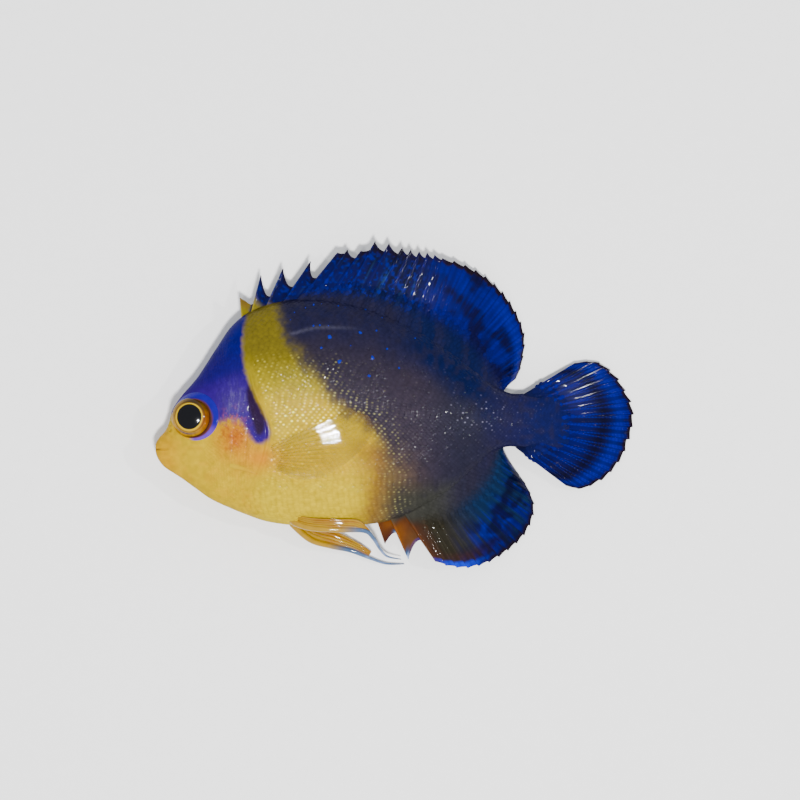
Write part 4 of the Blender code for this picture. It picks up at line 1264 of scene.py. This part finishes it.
shares = np.linspace(0, 1, 17)[:-1]
place, notch = fin_columns(TAIL_RAYS, np.random.default_rng(83).uniform(0.012, 0.034, TAIL_RAYS), shares)
roots = along(TAIL_ROOT, place / (TAIL_RAYS - 1))
tips = along(TAIL_MARGIN, place / (TAIL_RAYS - 1))
places, share = fin_surface(roots, tips, notch, np.zeros(len(place)), 116)
length = np.linalg.norm(tips - roots, axis=1)[None]
ridge = soft_ridge(place[None], share, length) * ease((share - 0.10) / 0.25)
base = 0.62 * np.clip(1 - share / 0.5, 0, 1) ** 1.6 * thick_root(place, TAIL_RAYS)
half = MEMBRANE + 0.13 * ridge * (1 - 0.45 * share) + base
colour = tail_colour(place[None] + 0 * share, share + 0 * place[None], places[..., 0], places[..., 1], ridge)
colour = colour * (0.62 + 0.72 * ridge[..., None])
tail_grid = (places, half, colour)
film = 1 + 3.6 * bump(place[None], 12.5, 2.8) * bump(share, 0.45, 0.25)
dress(laid("tail_fan", places, half, colour, film), fin_finish, "tail_fin", "tail_fin")

# %% [markdown]
# ## Scales on the fin bases
# In angelfish the scales run out on to the bases of the dorsal, anal and tail fins, which hides the
# line between body and fin. These are the same plates, smaller, set on both faces of the three fins
# in rows at equal distances from the root, with their free edges towards the margin.


# %% Scales of the fin bases
def between(grid, r, c):
    """A grid's value between its points: a mix of the four round the place (r, c)."""
    i = np.clip(r.astype(int), 0, grid.shape[0] - 2)
    j = np.clip(c.astype(int), 0, grid.shape[1] - 2)
    s, t = (r - i)[..., None], (c - j)[..., None]
    near = grid[i, j] * (1 - s) + grid[i + 1, j] * s
    return near * (1 - t) + (grid[i, j + 1] * (1 - s) + grid[i + 1, j + 1] * s) * t


def fin_roots(grid, side, pitch, start, reach, first, column, seed):
    """Roots of scales on one face of a fin: rows at equal distances out along the rays, and places at
    equal steps along each row, up to a share of the ray and from the first column that bears scales. The
    frame is outwards, across and off the face."""
    places, half, colours = grid
    face = places.copy()
    face[..., 2] += side * half
    rows, columns = half.shape
    found = []
    rng = np.random.default_rng(seed)
    distance = run_along(face)
    for number in range(int(start / (pitch / 2)), 80):
        level = np.array([np.interp(number * pitch / 2, line, np.arange(rows)) for line in distance.T])
        path = between(face, level, np.arange(columns).astype(float))
        length = run_along(path)
        spots = np.arange(pitch * (0.25 + 0.5 * (number % 2)), length[-1], pitch)
        spots = spots + rng.uniform(-0.08, 0.08, len(spots)) * pitch
        c = np.interp(spots, length, np.arange(columns))
        r = np.interp(c, np.arange(columns), level)
        limit = (rows - 1) * (reach + rng.uniform(-0.05, 0.05, len(spots)))
        shown = ease((limit - r) / (0.12 * rows)) * ease(np.minimum(c - first, columns - 1 - c) / 8)
        found.append(np.stack([r, c, shown], 1)[(shown > 0.02) & (r > 1)])
    r, c, shown = np.concatenate(found).T
    place = between(face, r, c)
    tail = between(face, np.minimum(r + 3, rows - 1), c) - between(face, np.maximum(r - 3, 0), c)
    across = between(face, r, np.minimum(c + 9, columns - 1)) - between(face, r, np.maximum(c - 9, 0))
    unwrap = np.stack([(column + 0.02 + 0.96 * c / columns) / 3, (side > 0) / 2 + 0.02 + 0.45 * r / rows], 1)
    size = 1 - 0.25 * r / (rows * reach)
    return place, *scale_frame(tail, across, side), size, unwrap, shown, between(colours, r, c)


FIN_PITCH = 0.42
SCALED_FINS = [(dorsal_grid, 0.7, 0.46, 50), (anal_grid, 0.7, 0.46, 34), (tail_grid, 1.2, 0.40, 0)]
fin_parts = []
for column, (grid, start, reach, first) in enumerate(SCALED_FINS):
    for side in (1, -1):
        seed = 60 + column * 2 + side
        fin_parts.append(fin_roots(grid, side, FIN_PITCH, start, reach, first, column, seed))
*base_roots, base_colours = joined(fin_parts)
base_scales = plates(
    "fin_base_scales", base_roots, FIN_PITCH, lambda places: base_colours[:, None] + 0 * places,
    np.full(len(base_colours), 0.015), seed=33, tone=0.12, flatness=0.6,
    shine=lambda places: np.full(places.shape[:2], 0.25),
)
dress(base_scales, scale_finish, "dorsal_fin")

# %% [markdown]
# ## The pectoral fins
# These are the clear paddles behind the gill covers. The membrane lets the yellow flank show through,
# so it is a separate thin sheet with a see-through finish, and the golden rays in it are rods that
# split once. The left fin lies back along the flank and the right one is folded flat under the fish.

# %% Pectoral fins
PECTORAL_RAYS = 14
PECTORAL_ROOT = np.array([(10.95, 0.35), (11.35, -1.85)])
PECTORAL_TIPS = [
    (18.6, 3.75), (20.2, 3.1), (20.55, 1.7), (19.6, 0.1), (17.9, -1.4), (15.9, -2.5), (13.7, -2.9),
]


def paddle(share_across, share_out, side):
    """A place on the pectoral fin: from root to tip, turned about the root for the folded right fin,
    and then laid on the flank or on the floor."""
    roots = PECTORAL_ROOT[0] + (PECTORAL_ROOT[1] - PECTORAL_ROOT[0]) * share_across[..., None]
    tips = along(PECTORAL_TIPS, share_across)
    flat = roots * (1 - share_out[..., None]) + tips * share_out[..., None]
    hinge = PECTORAL_ROOT.mean(0)
    turn = math.radians(0.0 if side > 0 else -24.0)
    c, d = math.cos(turn), math.sin(turn)
    flat = hinge + (flat - hinge) @ np.array([[c, d], [-d, c]])
    u, v = flat[..., 0], flat[..., 1]
    if side > 0:
        w = np.minimum(flank(u, v), LIE) + 0.06 + 0.68 * ease(share_out / 0.4)
    else:
        w = np.full_like(u, 0.2 - LIE)
    return np.stack([u, v, w], -1)


clear_fin = finish("clear_fin", grain=0.0002, rough=(0.12, 0.22), coat=1.0, coat_rough=0.02, clear=0.17)
ray_finish = finish("fin_ray", 0.00015, 0.000004, rough=(0.2, 0.3), coat=0.5, coat_rough=0.04, clear=0.16)
for side, label in BOTH_SIDES:
    across, out = np.meshgrid(np.linspace(0, 1, 120), np.linspace(0, 1, 60))
    wave = np.abs(np.sin(across * math.pi * (PECTORAL_RAYS - 1)))
    places = paddle(across, out * (1 - 0.02 * wave), side)
    ribs = bump(wave, 0, 0.5)
    colour = over(markings(places[..., 0], places[..., 1]), 0.25, "deep gold")
    colour = over(colour, bump(out, 1.0, 0.12) * bump(across, 0.25, 0.25), "brown", 0.6)
    membrane = laid(f"{label}_pectoral", places, 0.045 + 0.006 * ribs, colour)
    dress(membrane, clear_fin, "pectoral_fins", f"pectoral_fin_{label}")
    lines = []
    for ray in range(PECTORAL_RAYS):
        for branch in (-1, 1):
            run_out = np.linspace(0.0, 0.985, 44)
            part = 0.22 * branch * ease((run_out - 0.4) / 0.5) * (0 < ray < PECTORAL_RAYS - 1)
            path = paddle(np.clip((ray + part) / (PECTORAL_RAYS - 1), 0, 1), run_out, side)
            radii = np.interp(run_out, [0, 0.2, 0.6, 1], [0.03, 0.045, 0.035, 0.015])
            lines.append(rod(path, radii, sides=8))
    rings = on_table(np.array(lines))
    rings[..., 2] = np.maximum(rings[..., 2], 0.02 * MM)
    u, v = rings[..., 0] / MM + MID_LENGTH, rings[..., 1] / MM + MID_HEIGHT
    made = [closed_rings(*pair) for pair in zip(rings, over(markings(u, v), 0.6, "gold"))]
    size = len(made[0][0])
    points = np.concatenate([m[0] for m in made])
    quads = np.concatenate([m[1] + k * size for k, m in enumerate(made)])
    fans = np.concatenate([m[2] + k * size for k, m in enumerate(made)])
    rays = new_piece(f"{label}_pectoral_rays", points, quads, fans, np.concatenate([m[3] for m in made]))
    dress(rays, ray_finish, "pectoral_fins")

# %% [markdown]
# ## The pelvic fins
# Two narrow fins under the belly. Each has a strong leading ray drawn out into a thread, steel blue
# at the rear, and a yellow membrane with a few rays behind it. The membrane is a grid between the
# leading curve and the inner curve, and the leading ray is a rod on top of it.

# %% Pelvic fins
PELVIC = {
    "left": (
        [
            (12.3, -6.5, 0.75), (14.3, -7.3, 1.4), (17.0, -7.55, 1.55), (19.6, -7.65, 1.2),
            (20.5, -8.4, 0.4), (21.1, -9.4, -0.6), (21.8, -10.15, -1.5), (23.1, -10.45, -2.1),
        ],
        [
            (12.3, -5.9, 1.5), (14.6, -6.4, 1.95), (17.0, -6.5, 2.0), (19.0, -6.6, 1.8),
            (19.9, -7.3, 1.0), (20.3, -7.9, 0.6),
        ],
        0.62,
    ),
    "right": (
        [
            (12.3, -6.5, -0.75), (14.4, -8.5, -1.65), (16.4, -9.2, -2.3), (18.3, -9.65, -2.9),
            (20.2, -10.4, -3.3), (21.7, -10.9, -3.5), (23.4, -10.95, -3.6),
        ],
        [
            (12.8, -6.5, -1.3), (15.0, -7.35, -1.9), (17.2, -7.95, -2.6), (19.2, -9.0, -3.0),
            (20.3, -9.75, -3.3),
        ],
        0.72,
    ),
}
pelvic_finish = finish("pelvic_fin", depth=0.000006, rough=(0.25, 0.4), coat=0.9, coat_rough=0.05)
for label, (lead, inner, reach) in PELVIC.items():
    share = np.linspace(0, 1, 110)
    front, back = along(lead, share * reach), along(inner, share)
    out, across = share[:, None], np.linspace(0, 1, 60)[None, :]
    fan = front[:, None] * (1 - across[..., None]) + back[:, None] * across[..., None]
    ribs = bump(np.abs(np.sin(across * math.pi * 5)), 0, 0.35)
    half = 0.06 + 0.10 * ribs * (1 - 0.5 * out)
    tone = mottle(across * 6, out * 3, 0.5, 91)
    colour = layered(
        ground(half, "pelvic gold"),
        (ease(tone * 2 - 0.8), "fin orange", 0.6),
        (ease((out - 0.55) / 0.35) * ease((0.45 - across) / 0.3), "steel", 0.9),
        (ease((out - 0.80) / 0.15), "fin orange", 0.4),
        (ease((across - 0.9) / 0.08) * ease((out - 0.2) / 0.2), "brown", 0.5),
    )
    dress(laid(f"{label}_pelvic", fan, half, colour), pelvic_finish, "pelvic_fins", f"pelvic_fin_{label}")
    run_out = np.linspace(0, 1, 140)
    radii = np.interp(run_out, [0, 0.07, 0.3, 0.7, 0.9, 1], [0.14, 0.33, 0.28, 0.17, 0.10, 0.04])
    rings = rod(along(lead, run_out), radii, sides=18)
    glint = bump(run_out[:, None], 0.8, 0.15) * mottle(rings[..., 0], rings[..., 1], 0.4, 92)
    colour = layered(
        ground(rings[..., 0], "pelvic gold"),
        (ease((run_out[:, None] - 0.36) / 0.2), "steel", 0.95),
        (glint, "ice", 0.4),
    )
    dress(rod_piece(f"{label}_pelvic_ray", rings, colour), pelvic_finish, "pelvic_fins")

# %% [markdown]
# ## The table top
# A plain pale table, just below the fish. Its finish has the faintest grain, so that it is a real
# surface and not a flat colour.

# %% Table top
mesh = bpy.data.meshes.new("table_top")
mesh.from_pydata([(-2, -2, 0), (2, -2, 0), (2, 2, 0), (-2, 2, 0)], [], [(0, 1, 2, 3)])
floor = bpy.data.objects.new("table_top", mesh)
floor.location = (0, 0, -0.00002)
bpy.context.scene.collection.objects.link(floor)
top = bpy.data.materials.new("table_top")
top.use_nodes = True
shader = top.node_tree.nodes["Principled BSDF"]
grain = add(top, "ShaderNodeTexNoise", scale=900)
where = add(top, "ShaderNodeTexCoord")
top.node_tree.links.new(where.outputs["Object"], grain.inputs["Vector"])
ramp = add(top, "ShaderNodeValToRGB")
ramp.color_ramp.elements[0].color = (0.84, 0.83, 0.81, 1)
ramp.color_ramp.elements[1].color = (0.88, 0.87, 0.85, 1)
top.node_tree.links.new(grain.outputs["Fac"], ramp.inputs["Fac"])
top.node_tree.links.new(ramp.outputs["Color"], shader.inputs["Base Color"])
shader.inputs["Roughness"].default_value = 0.6
floor.data.materials.append(top)
